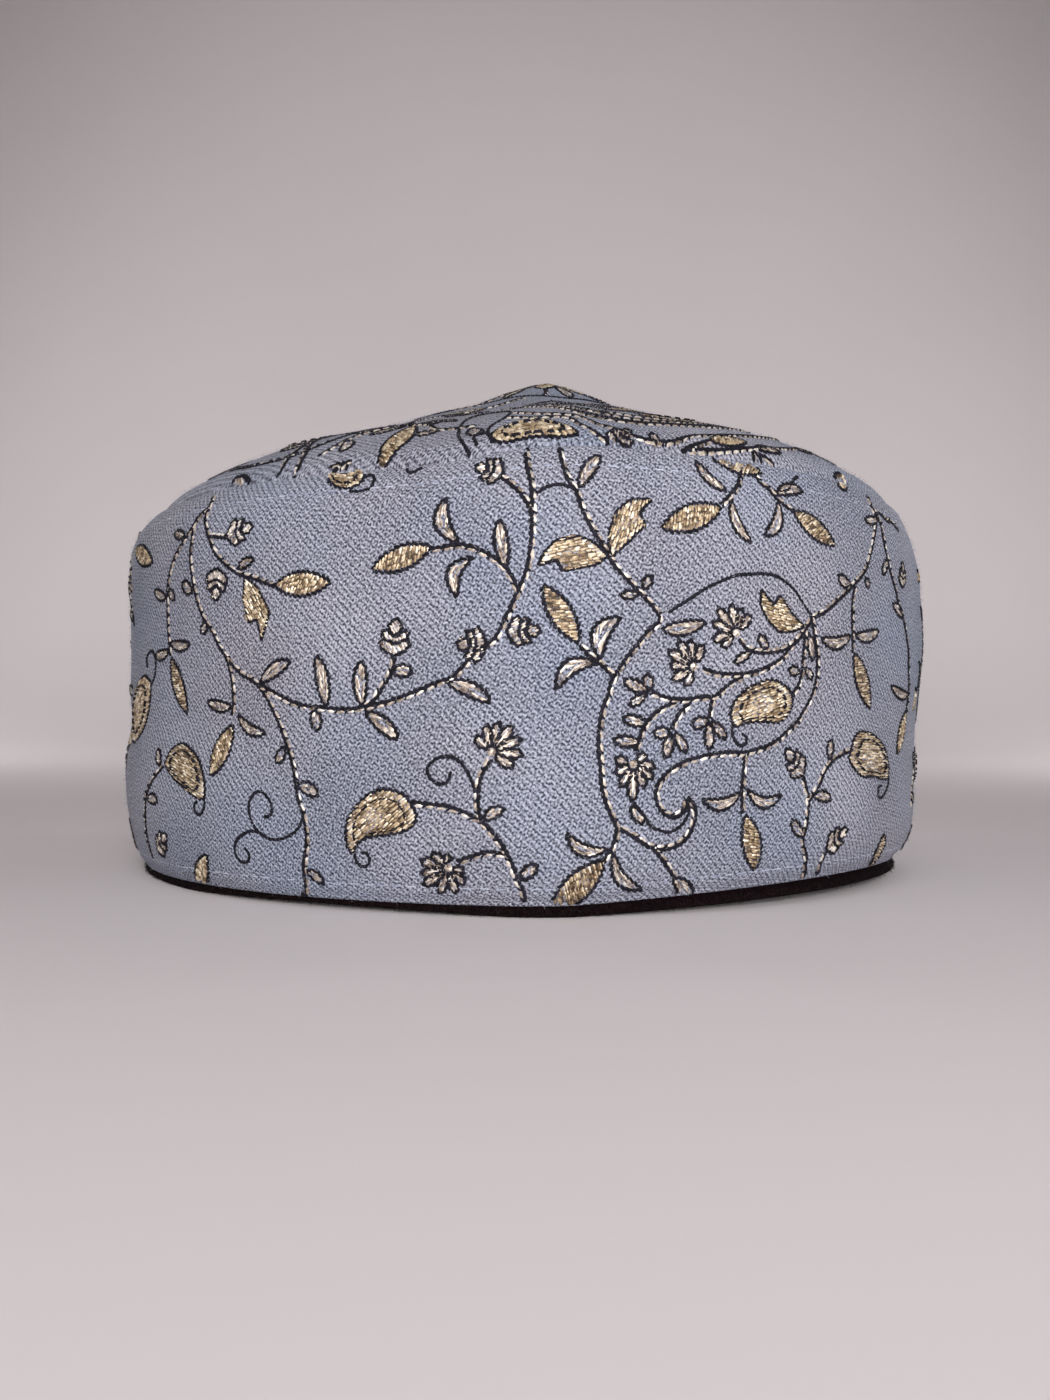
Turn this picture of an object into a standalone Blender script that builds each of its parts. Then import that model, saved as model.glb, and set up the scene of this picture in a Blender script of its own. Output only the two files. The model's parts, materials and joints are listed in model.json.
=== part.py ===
"""A soft round cap of wool twill, standing on its rim.

Three pieces of cloth make it: an upright side wall, a domed crown with a small peak whose edge is lapped under the
wall's folded top edge, and a dark lining band inside the wall, whose lower edge shows below the wall's hem and is
what the cap stands on. The cap is stored folded flat, so a soft upright crease runs down its front and its back.

Metres, +Z up, the front towards -Y. An azimuth is 0 at the front and grows towards +X.
"""

import math
from collections import namedtuple

import bmesh
import bpy

# The cap's outline
CAP_RADIUS = 0.0935  # outside of the wall where it is widest
SEAM_HEIGHT = 0.0780  # of the crown seam above the floor, on average
CROWN_RISE = 0.0410  # of the peak above the crown seam
PEAK_OFFSET = 0.0050  # of the peak towards +X

# The cloths and how they are lapped
WALL_CLOTH = 0.0016
CROWN_CLOTH = 0.0014
BAND_CLOTH = 0.0016
SEAM_LAP = 0.0045  # how far the crown's edge runs down under the wall's top edge
BAND_HEIGHT = 0.0300  # of the lining band
BAND_SHOWS = 0.0019  # of the lining band below the hem
FIT_GAP = 0.0003  # between one cloth and the next

# What handling has done to the form
CREASE = 0.0020  # how far the fold at the front and at the back stands out
SEAM_STEP = 0.0017  # how much higher than average the seam runs on the right of the front fold, and lower on its left
HEM_LIFT = 0.0023  # how far the rim stands off the floor on the right
BAND_ARCH = 0.0008  # how far the band is drawn up on the left of the front fold

# Azimuths, in degrees
CREASE_AT = 1.5
CREASE_SPREAD = 8.0
STEP_AT = -3.5
STEP_SPREAD = 6.0
LIFT_FROM, LIFT_TO = 5.0, 95.0
ARCH_FROM, ARCH_TO = -46.0, 0.0
SHOWS_MORE_RIGHT = 0.2  # share of BAND_SHOWS by which the right side shows more of the band, and the left side less

SEGMENTS = 64  # round the cap

# The wall's sections from hem to seam. height is a share of the wall's height at that azimuth, left and right are
# shares of CAP_RADIUS. The hem is drawn in, and above the shoulder the wall leans in to the seam.
WallSection = namedtuple("WallSection", "height left right")
WALL_SECTIONS = (
    WallSection(0.000, 0.957, 0.941),
    WallSection(0.035, 0.972, 0.961),
    WallSection(0.090, 0.984, 0.979),
    WallSection(0.200, 0.999, 0.986),
    WallSection(0.310, 0.998, 0.988),
    WallSection(0.400, 0.989, 0.991),
    WallSection(0.500, 0.994, 0.997),
    WallSection(0.610, 0.993, 1.003),
    WallSection(0.740, 0.997, 0.999),
    WallSection(0.850, 1.003, 0.995),
    WallSection(0.960, 0.985, 0.973),
    WallSection(1.000, 0.959, 0.959),
)

# The crown's sections from the seam to the peak. reach is a share of the radius at the seam, rise of CROWN_RISE.
CrownSection = namedtuple("CrownSection", "reach rise")
CROWN_SECTIONS = (
    CrownSection(0.96, 0.085),
    CrownSection(0.92, 0.150),
    CrownSection(0.83, 0.267),
    CrownSection(0.72, 0.362),
    CrownSection(0.60, 0.458),
    CrownSection(0.47, 0.562),
    CrownSection(0.35, 0.662),
    CrownSection(0.25, 0.750),
    CrownSection(0.17, 0.842),
    CrownSection(0.10, 0.914),
    CrownSection(0.05, 0.967),
)
CROWN_START = 0.015  # rise at which the crown comes out from under the wall's edge


def hump(azimuth, start, end):
    """0 outside the two azimuths in degrees, and one half wave between them."""
    share = (math.degrees(azimuth) - start) / (end - start)
    return math.sin(math.pi * share) if 0.0 < share < 1.0 else 0.0


def ridge(azimuth, centre, spread):
    """1 at the centre, fading to 0 over a few spreads on either side, all in degrees."""
    away = (math.degrees(azimuth) - centre + 180.0) % 360.0 - 180.0
    return 1.0 / math.cosh(away / spread)


def hem_height(azimuth):
    shows = BAND_SHOWS * (1.0 + SHOWS_MORE_RIGHT * math.sin(azimuth))
    return HEM_LIFT * hump(azimuth, LIFT_FROM, LIFT_TO) + shows


def band_foot(azimuth):
    lift = HEM_LIFT * hump(azimuth, LIFT_FROM, LIFT_TO)
    return lift + BAND_ARCH * hump(azimuth, ARCH_FROM, ARCH_TO)


def seam_height(azimuth):
    step = math.tanh((math.degrees(azimuth) - STEP_AT) / STEP_SPREAD)
    return SEAM_HEIGHT + SEAM_STEP * step * math.cos(azimuth / 2.0) ** 2


def wall_height(share, azimuth):
    low = hem_height(azimuth)
    return low + share * (seam_height(azimuth) - low)


def wall_radius(share, azimuth):
    """Outside of the wall at a share of its height, read between the two sections that it lies between."""
    rightness = 0.5 + 0.5 * math.sin(azimuth)
    folds = ridge(azimuth, CREASE_AT, CREASE_SPREAD) + ridge(azimuth, CREASE_AT + 180.0, CREASE_SPREAD)
    for low, high in zip(WALL_SECTIONS, WALL_SECTIONS[1:]):
        if share <= high.height:
            break
    up = max(0.0, (share - low.height) / (high.height - low.height))
    left = low.left + up * (high.left - low.left)
    right = low.right + up * (high.right - low.right)
    return CAP_RADIUS * (left + rightness * (right - left)) + CREASE * folds


def side_wall_section(azimuth):
    outside = [(wall_radius(s.height, azimuth), wall_height(s.height, azimuth)) for s in WALL_SECTIONS]
    inside = [(radius - WALL_CLOTH, height) for radius, height in outside]
    return outside, inside


def lining_band_section(azimuth):
    """The band follows the wall's inside from its own foot, below the hem, up to BAND_HEIGHT."""
    depth = WALL_CLOTH + FIT_GAP
    foot = band_foot(azimuth)
    low = hem_height(azimuth)
    top = (foot + BAND_HEIGHT - low) / (seam_height(azimuth) - low)
    shares = [s.height for s in WALL_SECTIONS if s.height < top - FIT_GAP] + [top]
    outside = [(wall_radius(0.0, azimuth) - depth, foot)]
    outside += [(wall_radius(share, azimuth) - depth, wall_height(share, azimuth)) for share in shares]
    inside = [(radius - BAND_CLOTH, height) for radius, height in outside]
    return outside, inside


def crown_section(azimuth):
    """The crown runs up under the wall's top edge, turns over it and then follows CROWN_SECTIONS to the peak."""
    depth = WALL_CLOTH + FIT_GAP
    seam = seam_height(azimuth)
    lowest = 1.0 - SEAM_LAP / (seam - hem_height(azimuth))
    shares = [lowest] + [s.height for s in WALL_SECTIONS if s.height > lowest]
    outside = [(wall_radius(share, azimuth) - depth, wall_height(share, azimuth)) for share in shares]
    outside.append((outside[-1][0], seam + CROWN_START * CROWN_RISE))
    inside = [(radius - CROWN_CLOTH, height - CROWN_CLOTH) for radius, height in outside]
    for section in CROWN_SECTIONS:
        radius = section.reach * wall_radius(1.0, azimuth)
        height = SEAM_HEIGHT + (seam - SEAM_HEIGHT) * section.reach**2 + CROWN_RISE * section.rise
        outside.append((radius, height))
        inside.append((radius, height - CROWN_CLOTH))
    return outside, inside


def peak_shift(height):
    """How far +X the cap leans at a height: nothing up to the seam, PEAK_OFFSET at the peak."""
    return PEAK_OFFSET * max(0.0, (height - SEAM_HEIGHT) / CROWN_RISE)


def cloth_mesh(name, section_at, peaked):
    """Rings of vertices along section_at, outside up and inside down, bridged into one closed body of cloth."""
    mesh_builder = bmesh.new()
    columns = []
    for step in range(SEGMENTS):
        azimuth = 2.0 * math.pi * step / SEGMENTS
        azimuth -= 2.0 * math.pi if azimuth > math.pi else 0.0
        outside, inside = section_at(azimuth)
        columns.append(
            [
                [
                    mesh_builder.verts.new(
                        (
                            radius * math.sin(azimuth) + peak_shift(height),
                            -radius * math.cos(azimuth),
                            height,
                        )
                    )
                    for radius, height in side
                ]
                for side in (outside, inside)
            ]
        )
    poles = []
    if peaked:
        top = SEAM_HEIGHT + CROWN_RISE
        poles = [mesh_builder.verts.new((PEAK_OFFSET, 0.0, top - depth)) for depth in (0.0, CROWN_CLOTH)]
    for here, there in zip(columns, columns[1:] + columns[:1]):
        loop_here = here[0] + here[1][::-1]
        loop_there = there[0] + there[1][::-1]
        open_at = len(here[0]) - 1
        for row in range(len(loop_here)):
            if peaked and row == open_at:
                mesh_builder.faces.new((loop_here[row], loop_there[row], poles[0]))
                mesh_builder.faces.new((loop_there[row + 1], loop_here[row + 1], poles[1]))
                continue
            after = (row + 1) % len(loop_here)
            mesh_builder.faces.new((loop_here[row], loop_there[row], loop_there[after], loop_here[after]))
    bmesh.ops.recalc_face_normals(mesh_builder, faces=mesh_builder.faces)
    mesh = bpy.data.meshes.new(name)
    mesh_builder.to_mesh(mesh)
    mesh_builder.free()
    return mesh


def cloth_material(name, colour, roughness):
    material = bpy.data.materials.new(name)
    material.use_nodes = True
    surface = material.node_tree.nodes["Principled BSDF"]
    surface.inputs["Base Color"].default_value = (*colour, 1.0)
    surface.inputs["Roughness"].default_value = roughness
    surface.inputs["Metallic"].default_value = 0.0
    return material


def add_cloth(name, section_at, material, peaked=False):
    mesh = cloth_mesh(name, section_at, peaked)
    mesh.materials.append(material)
    mesh.shade_smooth()
    mesh.set_sharp_from_angle(angle=math.radians(50.0))
    piece = bpy.data.objects.new(name, mesh)
    bpy.context.scene.collection.objects.link(piece)
    return piece


for leftover in list(bpy.data.objects):
    bpy.data.objects.remove(leftover, do_unlink=True)

blue_twill = cloth_material("blue_twill", colour=(0.21, 0.25, 0.38), roughness=0.85)
dark_felt = cloth_material("dark_felt", colour=(0.018, 0.010, 0.013), roughness=0.95)

add_cloth("side_wall", side_wall_section, blue_twill)
add_cloth("crown", crown_section, blue_twill, peaked=True)
add_cloth("lining_band", lining_band_section, dark_felt)
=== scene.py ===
"""An embroidered round cap, dressed piece by piece over its CAD model and set on a pale studio floor."""

import json
import math
import random

import bpy
import numpy as np
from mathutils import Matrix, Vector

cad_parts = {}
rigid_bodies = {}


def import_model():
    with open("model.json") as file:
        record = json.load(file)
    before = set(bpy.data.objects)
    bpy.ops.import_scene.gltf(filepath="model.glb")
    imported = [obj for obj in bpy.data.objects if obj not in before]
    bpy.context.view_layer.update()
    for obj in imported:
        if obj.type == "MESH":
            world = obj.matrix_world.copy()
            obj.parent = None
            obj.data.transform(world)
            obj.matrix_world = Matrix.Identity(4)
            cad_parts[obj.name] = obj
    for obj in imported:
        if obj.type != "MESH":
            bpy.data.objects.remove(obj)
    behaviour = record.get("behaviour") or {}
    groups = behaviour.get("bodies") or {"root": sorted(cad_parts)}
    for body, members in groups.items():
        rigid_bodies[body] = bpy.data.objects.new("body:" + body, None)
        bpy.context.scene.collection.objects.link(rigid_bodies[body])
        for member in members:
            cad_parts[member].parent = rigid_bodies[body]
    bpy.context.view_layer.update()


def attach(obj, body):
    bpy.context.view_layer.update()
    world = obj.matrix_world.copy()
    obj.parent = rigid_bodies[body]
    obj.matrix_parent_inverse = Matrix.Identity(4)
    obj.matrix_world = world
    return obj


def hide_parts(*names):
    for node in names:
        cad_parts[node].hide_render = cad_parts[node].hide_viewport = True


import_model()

# The camera stands close in front of the cap and a little above the floor, looking slightly up.
camera_data = bpy.data.cameras.new("camera")
camera_data.sensor_width = 36.0
camera_data.lens = 27.67
camera_data.clip_start = 0.01
camera = bpy.data.objects.new("camera", camera_data)
bpy.context.scene.collection.objects.link(camera)
camera.location = (0.00027, -0.271, 0.0307)
camera.rotation_euler = (math.radians(90.0 + 1.835), math.radians(-0.42), 0.0)
bpy.context.scene.camera = camera


# The side wall. A strip of pale blue-grey wool twill, joined at the back, with its lower edge turned up
# inside as a hem and its top edge folded in and stitched down over the crown. It is kept folded flat, so
# that a soft upright crease runs down its front and its back.
CAP_RADIUS = 0.0935
SEAM_HEIGHT = 0.0780
SEAM_STEP = 0.0017  # how much higher the seam runs on the right of the front fold, and lower on its left
WALL_CLOTH = 0.0016
WALL_HEIGHT = 0.0760  # roughly, from the hem to the seam
FOLDED_EDGE = 0.0009  # thickness of the top edge where it is folded in
CREASE = 0.0020  # how far the fold at the front and at the back stands out
HEM_LIFT = 0.0023  # how far the rim stands off the floor on the right
BAND_SHOWS = 0.0019  # of the lining band below the hem
SHOWS_MORE_RIGHT = 0.2  # share of BAND_SHOWS by which the right shows more of the band, and the left less
# Azimuths, in degrees
CREASE_AT, CREASE_SPREAD = 1.5, 8.0
STEP_AT, STEP_SPREAD = -3.5, 6.0
LIFT_FROM, LIFT_TO = 5.0, 95.0
MM = 0.001
ROUND = 480  # columns of cloth round the cap
around = np.linspace(-np.pi, np.pi, ROUND, endpoint=False)
CHART_RADIUS = 92.5  # millimetres of chart across to one radian round the cap
HEM_STITCHES = 3.2  # millimetres of their row above the hem
SEAM_STITCHES = 3.8  # millimetres of their row below the wall's top edge

# The wall's outside from hem to seam: shares of its height, and of CAP_RADIUS on the left and on the right
WALL_SHARES = (0.0, 0.035, 0.09, 0.2, 0.31, 0.4, 0.5, 0.61, 0.74, 0.85, 0.96, 1.0)
WALL_LEFT = (0.957, 0.972, 0.984, 0.999, 0.998, 0.989, 0.994, 0.993, 0.997, 1.003, 0.985, 0.959)
WALL_RIGHT = (0.941, 0.961, 0.979, 0.986, 0.988, 0.991, 0.997, 1.003, 0.999, 0.995, 0.973, 0.959)


def smoothly(at, stops, values):
    """Reads a smooth curve that passes through the values at the stops."""
    stops, values = np.asarray(stops, float), np.asarray(values, float)
    slopes = np.gradient(values, stops)
    start = np.clip(np.searchsorted(stops, at, side="right") - 1, 0, len(stops) - 2)
    width = stops[start + 1] - stops[start]
    part = np.clip((at - stops[start]) / width, 0.0, 1.0)
    rest = 1.0 - part
    return (
        values[start] * rest * rest * (1.0 + 2.0 * part)
        + values[start + 1] * part * part * (1.0 + 2.0 * rest)
        + width * part * rest * (slopes[start] * rest - slopes[start + 1] * part)
    )


def fold(azimuth, centre):
    """1 at the centre, in degrees, fading to 0 on either side."""
    away = (np.degrees(azimuth) - centre + 180.0) % 360.0 - 180.0
    return 1.0 / np.cosh(away / CREASE_SPREAD)


def hump(azimuth, start, end):
    """0 outside the two azimuths in degrees, and one half wave between them."""
    share = (np.degrees(azimuth) - start) / (end - start)
    return np.where((share > 0.0) & (share < 1.0), np.sin(np.pi * share), 0.0)


def rim_lift(azimuth):
    return HEM_LIFT * hump(azimuth, LIFT_FROM, LIFT_TO)


def hem_height(azimuth):
    return rim_lift(azimuth) + BAND_SHOWS * (1.0 + SHOWS_MORE_RIGHT * np.sin(azimuth))


def seam_height(azimuth):
    step = np.tanh((np.degrees(azimuth) - STEP_AT) / STEP_SPREAD)
    return SEAM_HEIGHT + SEAM_STEP * step * np.cos(azimuth / 2.0) ** 2


def wall_radius(share, azimuth):
    rightness = 0.5 + 0.5 * np.sin(azimuth)
    left, right = smoothly(share, WALL_SHARES, WALL_LEFT), smoothly(share, WALL_SHARES, WALL_RIGHT)
    folds = fold(azimuth, CREASE_AT) + fold(azimuth, CREASE_AT + 180.0)
    return CAP_RADIUS * (left + rightness * (right - left)) + CREASE * folds


def bump(away, spread):
    """1 where away is nothing, fading to 0 over a few spreads on either side."""
    return np.exp(-((away / spread) ** 2))


def handled(azimuth, height):
    """How far the wall swells and dips from handling, and is drawn in by its stitching and its back seam."""
    waves = 0.22 * np.sin(7.0 * azimuth + 90.0 * height + 0.6)
    waves = waves + 0.16 * np.sin(13.0 * azimuth - 130.0 * height)
    waves = waves + 0.10 * np.sin(23.0 * azimuth + 60.0 * height + 2.0)
    low, high = height - hem_height(azimuth), seam_height(azimuth) - height
    drawn = bump(low / MM - HEM_STITCHES, 0.55) + bump(high / MM - SEAM_STITCHES, 0.55)
    near_edge = np.clip(np.minimum(low, high) / 0.012, 0.0, 1.0)
    joined = bump((np.pi - np.abs(azimuth)) * CHART_RADIUS, 0.9)
    return (waves * near_edge - 0.22 * drawn - 0.35 * joined) * MM


def wall_point(azimuth, height):
    low = hem_height(azimuth)
    share = (height - low) / (seam_height(azimuth) - low)
    radius = wall_radius(share, azimuth) + handled(azimuth, height)
    return np.stack([radius * np.sin(azimuth), -radius * np.cos(azimuth), height + 0.0 * azimuth], -1)


def woven_sheet(name, rows, weave):
    """One sheet of cloth from rows of points that run round the cap. weave is each point's place along the
    weft and the warp in millimetres, with one more column than rows, and goes into the sheet's UV map."""
    rows, weave = np.asarray(rows), np.asarray(weave)
    high, wide = rows.shape[:2]
    row, column = np.meshgrid(np.arange(high - 1), np.arange(wide), indexing="ij")
    after = (column + 1) % wide
    below, above = row * wide, (row + 1) * wide
    faces = np.stack([below + column, below + after, above + after, above + column], -1)
    mesh = bpy.data.meshes.new(name)
    mesh.from_pydata(rows.reshape(-1, 3).tolist(), [], faces.reshape(-1, 4).tolist())
    corners = np.stack([weave[:-1, :-1], weave[:-1, 1:], weave[1:, 1:], weave[1:, :-1]], 2)
    mesh.uv_layers.new(name="weave").data.foreach_set("uv", corners.astype(np.float32).ravel())
    mesh.shade_smooth()
    return piece_of(name, mesh)


def piece_of(name, mesh):
    piece = bpy.data.objects.new(name, mesh)
    bpy.context.scene.collection.objects.link(piece)
    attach(piece, "root")
    return piece


def weave_round(rows):
    """Millimetres round the cap, and along each column from its first row."""
    steps = np.linalg.norm(np.diff(rows, axis=0), axis=2)
    run = np.concatenate([np.zeros((1, ROUND)), np.cumsum(steps, axis=0)]) / MM
    across = np.linspace(-np.pi, np.pi, ROUND + 1) * CHART_RADIUS
    run = np.pad(run, ((0, 0), (0, 1)), mode="wrap")
    return np.stack([np.broadcast_to(across, run.shape), run], -1)


def ring_of(radius, height):
    """A row of points round the cap at a radius and a height for each azimuth."""
    return np.stack([radius * np.sin(around), -radius * np.cos(around), height], -1)


def wall_rows():
    """The wall's section: from inside the hem round its fold, up the outside, round the top edge and in."""
    low, high = hem_height(around), seam_height(around)
    hem, edge = wall_radius(0.0, around), wall_radius(1.0, around)
    turn = WALL_CLOTH / 2.0
    rows = []
    for height in (0.022, 0.016, 0.009, 0.004):
        rows.append((wall_radius(height / WALL_HEIGHT, around) - WALL_CLOTH, low + height))
    for angle in np.radians((180.0, 150.0, 120.0, 90.0, 60.0, 30.0)):
        rows.append((hem - turn + turn * np.cos(angle), low + turn * (1.0 - np.sin(angle))))
    first, last = low + turn, high - FOLDED_EDGE / 2.0
    for share in np.linspace(0.0, 1.0, 110):
        height = first + share * (last - first)
        out = wall_radius((height - low) / (high - low), around) + handled(around, height)
        if share < 0.02:
            out = out - (wall_radius(turn / WALL_HEIGHT, around) - hem) * (1.0 - share / 0.02)
        rows.append((out, height))
    turn = FOLDED_EDGE / 2.0
    for angle in np.radians((35.0, 65.0, 90.0, 125.0, 160.0)):
        rows.append((edge - turn + turn * np.cos(angle), high - turn * (1.0 - np.sin(angle))))
    rows.append((wall_radius(0.98, around) - FOLDED_EDGE, high - 0.0015))
    rows.append((wall_radius(0.92, around) - FOLDED_EDGE, high - 0.0060))
    return np.array([ring_of(radius, height) for radius, height in rows])


class Shade:
    """A value that varies over a surface. The signs + - * / on it add Math nodes."""

    def __init__(self, finish, socket):
        self.finish, self.socket = finish, socket

    def maths(self, operation, *others):
        return self.finish.node("ShaderNodeMath", {"operation": operation}, dict(enumerate((self, *others))))

    def __add__(self, other):
        return self.maths("ADD", other)

    def __sub__(self, other):
        return self.maths("SUBTRACT", other)

    def __mul__(self, other):
        return self.maths("MULTIPLY", other)

    def __truediv__(self, other):
        return self.maths("DIVIDE", other)

    def __rsub__(self, other):
        return self.maths("MULTIPLY", -1.0) + other

    __radd__, __rmul__ = __add__, __mul__

    def ripple(self):
        """From 0 to 1 and back, once for every whole number that the value passes."""
        return (self * math.tau).maths("SINE") * 0.5 + 0.5

    def output(self, name):
        return Shade(self.finish, self.socket.node.outputs[name])


class Finish:
    """A material, and the nodes that make its look."""

    def __init__(self, name, **constants):
        self.material = bpy.data.materials.new(name)
        self.material.use_nodes = True
        self.tree = self.material.node_tree
        self.surface = self.tree.nodes["Principled BSDF"]
        for socket, value in constants.items():
            self.surface.inputs[socket.replace("_", " ")].default_value = value

    def node(self, kind, settings=None, sockets=None):
        made = self.tree.nodes.new(kind)
        for name, value in (settings or {}).items():
            if name == "stops":
                ramp = made.color_ramp.elements
                while len(ramp) < len(value):
                    ramp.new(0.5)
                for stop, (place, colour) in zip(ramp, value):
                    stop.position, stop.color = place, (*colour, 1.0)
            else:
                setattr(made, name, value)
        for name, value in (sockets or {}).items():
            self.feed(made.inputs[name], value)
        return Shade(self, next(out for out in made.outputs if out.enabled))

    def feed(self, socket, value):
        if isinstance(value, Shade):
            self.tree.links.new(value.socket, socket)
        else:
            socket.default_value = value

    def paint(self, **looks):
        for name, value in looks.items():
            self.feed(self.surface.inputs[name.replace("_", " ")], value)

    def noise(self, place, scale, detail=2.0):
        return self.node("ShaderNodeTexNoise", None, {"Vector": place, "Scale": scale, "Detail": detail})

    def colours(self, fac, *stops):
        return self.node("ShaderNodeValToRGB", {"stops": stops}, {"Fac": fac})

    def blend(self, fac, one, other, how="MIX"):
        """A colour between two colours."""
        made = self.tree.nodes.new("ShaderNodeMix")
        made.data_type, made.blend_type = "RGBA", how
        for socket, value in ((made.inputs[0], fac), (made.inputs[6], one), (made.inputs[7], other)):
            self.feed(socket, (*value, 1.0) if isinstance(value, tuple) else value)
        return Shade(self, made.outputs[2])

    def relief(self, height, depth, strength=1.0):
        return self.node("ShaderNodeBump", None, {"Height": height, "Distance": depth, "Strength": strength})


RIB_PITCH = 0.98  # millimetres from one diagonal rib of the twill to the next


def twill(name, dark, light):
    """Wool twill. Diagonal ribs of floats, pale warp over a darker weft, each float a short plump cell."""
    cloth = Finish(name, Roughness=0.82, Specular_IOR_Level=0.25, Sheen_Weight=0.04, Sheen_Roughness=0.5)
    place = cloth.node("ShaderNodeUVMap", {"uv_map": "weave"})
    sway = cloth.noise(place, 0.55, 3.0) - 0.5
    parts = cloth.node("ShaderNodeSeparateXYZ", None, {0: place})
    across, up = parts.output("X"), parts.output("Y")
    loose = cloth.noise(place, 1.7, 2.0) - 0.5
    ribs = ((across * 0.74 + up * 0.68) / RIB_PITCH + sway * 0.5 + loose * 0.5).ripple()
    wave = ((across * 1.05 + loose * 0.6) * math.tau).maths("SINE")
    rows_of_floats = (up * 1.36 + across * 0.2 + wave * 0.24 + loose * 0.5).ripple()
    yarn = (across * 1.75 - up * 0.5 + loose * 0.9).ripple()
    slub = cloth.noise(place, 2.3, 3.0) - 0.5
    drawn = (cloth.noise(place, 0.035, 1.0) - 0.35) * 1.5
    floats = ribs * (drawn * 0.36 + 0.20) + rows_of_floats * 0.30 + yarn * 0.18 + slub * 1.9 + 0.06
    tones = cloth.colours(floats, (0.14, dark), (0.84, light))
    patches = cloth.noise(place, 0.022, 3.0)
    bluish = cloth.blend((patches - 0.34) * 1.9, tones, (0.68, 0.85, 1.0), "MULTIPLY")
    cloth.paint(Base_Color=bluish, Normal=cloth.relief(floats, 0.00022, 0.8))
    return cloth


blue_twill = twill("blue_twill", dark=(0.040, 0.040, 0.060), light=(0.50, 0.49, 0.57))

rows = wall_rows()
wall_cloth = woven_sheet("wall_cloth", rows, weave_round(rows))
wall_cloth.data.materials.append(blue_twill.material)
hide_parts("side_wall")


# The crown. A disc of the same twill, eased on to the wall under its folded edge and gathered by the weight
# of its stitching into a low dome with a small soft peak.
CROWN_RISE = 0.0410  # of the peak above the crown seam
PEAK_OFFSET = 0.0050  # of the peak towards +X
CROWN_CLOTH = 0.0014
SEAM_LAP = 0.0045  # how far the crown's edge runs down under the wall's top edge
# The crown's section from the peak to the seam: shares of the radius at the seam, and of CROWN_RISE
CROWN_REACH = (0.0, 0.05, 0.10, 0.17, 0.25, 0.35, 0.47, 0.60, 0.72, 0.83, 0.92, 0.96, 0.985, 1.0)
CROWN_RISES = (1.0, 0.976, 0.930, 0.858, 0.762, 0.667, 0.562, 0.458, 0.362, 0.267, 0.150, 0.085, 0.005, -0.08)


def crown_height(reach, azimuth):
    mirrored = [-stop for stop in CROWN_REACH[:0:-1]]
    rise = smoothly(reach, (*mirrored, *CROWN_REACH), (*CROWN_RISES[:0:-1], *CROWN_RISES))
    swell = 0.25 * np.sin(5.0 * azimuth + 12.0 * reach) + 0.2 * np.sin(9.0 * azimuth - 15.0 * reach + 1.0)
    swell = swell * np.sin(np.pi * np.clip(reach, 0.0, 1.0)) * MM
    return SEAM_HEIGHT + (seam_height(azimuth) - SEAM_HEIGHT) * reach**2 + CROWN_RISE * rise + swell


def crown_point(across, back):
    """The crown's outside over a place in its plan, in metres from its middle."""
    azimuth = np.arctan2(across, -back)
    reach = np.hypot(across, back) / wall_radius(1.0, azimuth)
    height = crown_height(reach, azimuth)
    lean = PEAK_OFFSET * np.maximum(0.0, (height - SEAM_HEIGHT) / CROWN_RISE)
    return np.stack([across + lean, back, height], -1)


rim = wall_radius(1.0, around)
rows, weave = [], []
reaches = np.concatenate([[1.0, 0.99], np.linspace(0.98, 0.03, 72), [0.018, 0.008, 0.001]])
for reach in reaches:
    plan = reach * rim - (FOLDED_EDGE * 0.4 if reach > 0.985 else 0.0)
    rows.append(crown_point(plan * np.sin(around), -plan * np.cos(around)))
    plan = np.append(plan, plan[0]) / MM
    turned = np.append(around, around[0])
    weave.append(np.stack([plan * np.sin(turned), -plan * np.cos(turned)], -1))
lap = wall_radius(0.93, around) - FOLDED_EDGE - 0.0002
rows.insert(0, ring_of(lap, seam_height(around) - SEAM_LAP))
weave.insert(0, weave[0] * 1.05)
crown_cloth = woven_sheet("crown_cloth", rows, weave)
cloth = crown_cloth.modifiers.new("cloth", "SOLIDIFY")
cloth.thickness, cloth.offset, cloth.use_rim = CROWN_CLOTH, -1.0, True
crown_cloth.data.materials.append(blue_twill.material)
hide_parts("crown")


# The lining band. A strip of dark brown-black wool felt sewn inside the wall. Its raw lower edge hangs a
# little below the hem, and the cap stands on it.
BAND_HEIGHT = 0.0300
BAND_CLOTH = 0.0016
BAND_GAP = 0.0003
BELOW_HEM = 0.0003  # its bare edge swells out to this far inside the wall's face
BAND_ARCH = 0.0008  # how far it is drawn up on the left of the front fold
ARCH_FROM, ARCH_TO = -46.0, 0.0


def band_foot(azimuth):
    return 0.8 * rim_lift(azimuth) + BAND_ARCH * hump(azimuth, ARCH_FROM, ARCH_TO)


foot = band_foot(around)
outer = wall_radius(0.0, around) - BELOW_HEM
rows = []
for share in np.linspace(1.0, 0.1, 14):
    height = foot + share * BAND_HEIGHT
    inside = wall_radius((height - foot) / WALL_HEIGHT, around) - WALL_CLOTH - BAND_GAP - BAND_CLOTH
    rows.append((inside, height))
for angle in np.radians((180.0, 210.0, 240.0, 270.0, 300.0, 330.0, 360.0)):
    turn = BAND_CLOTH / 2.0
    rows.append((outer - turn + turn * np.cos(angle), foot + turn * 0.6 * (1.0 + np.sin(angle))))
rows.append((outer, foot + 0.6 * (hem_height(around) - foot)))
rows.append((outer - 0.0002, hem_height(around) - 0.0001))
for share in np.linspace(0.12, 1.0, 20):
    height = foot + share * BAND_HEIGHT
    outside = wall_radius((height - hem_height(around)) / WALL_HEIGHT, around) - WALL_CLOTH - BAND_GAP
    rows.append((outside, height))
rows.append(rows[0])
rows = np.array([ring_of(radius, height) for radius, height in rows])
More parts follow.
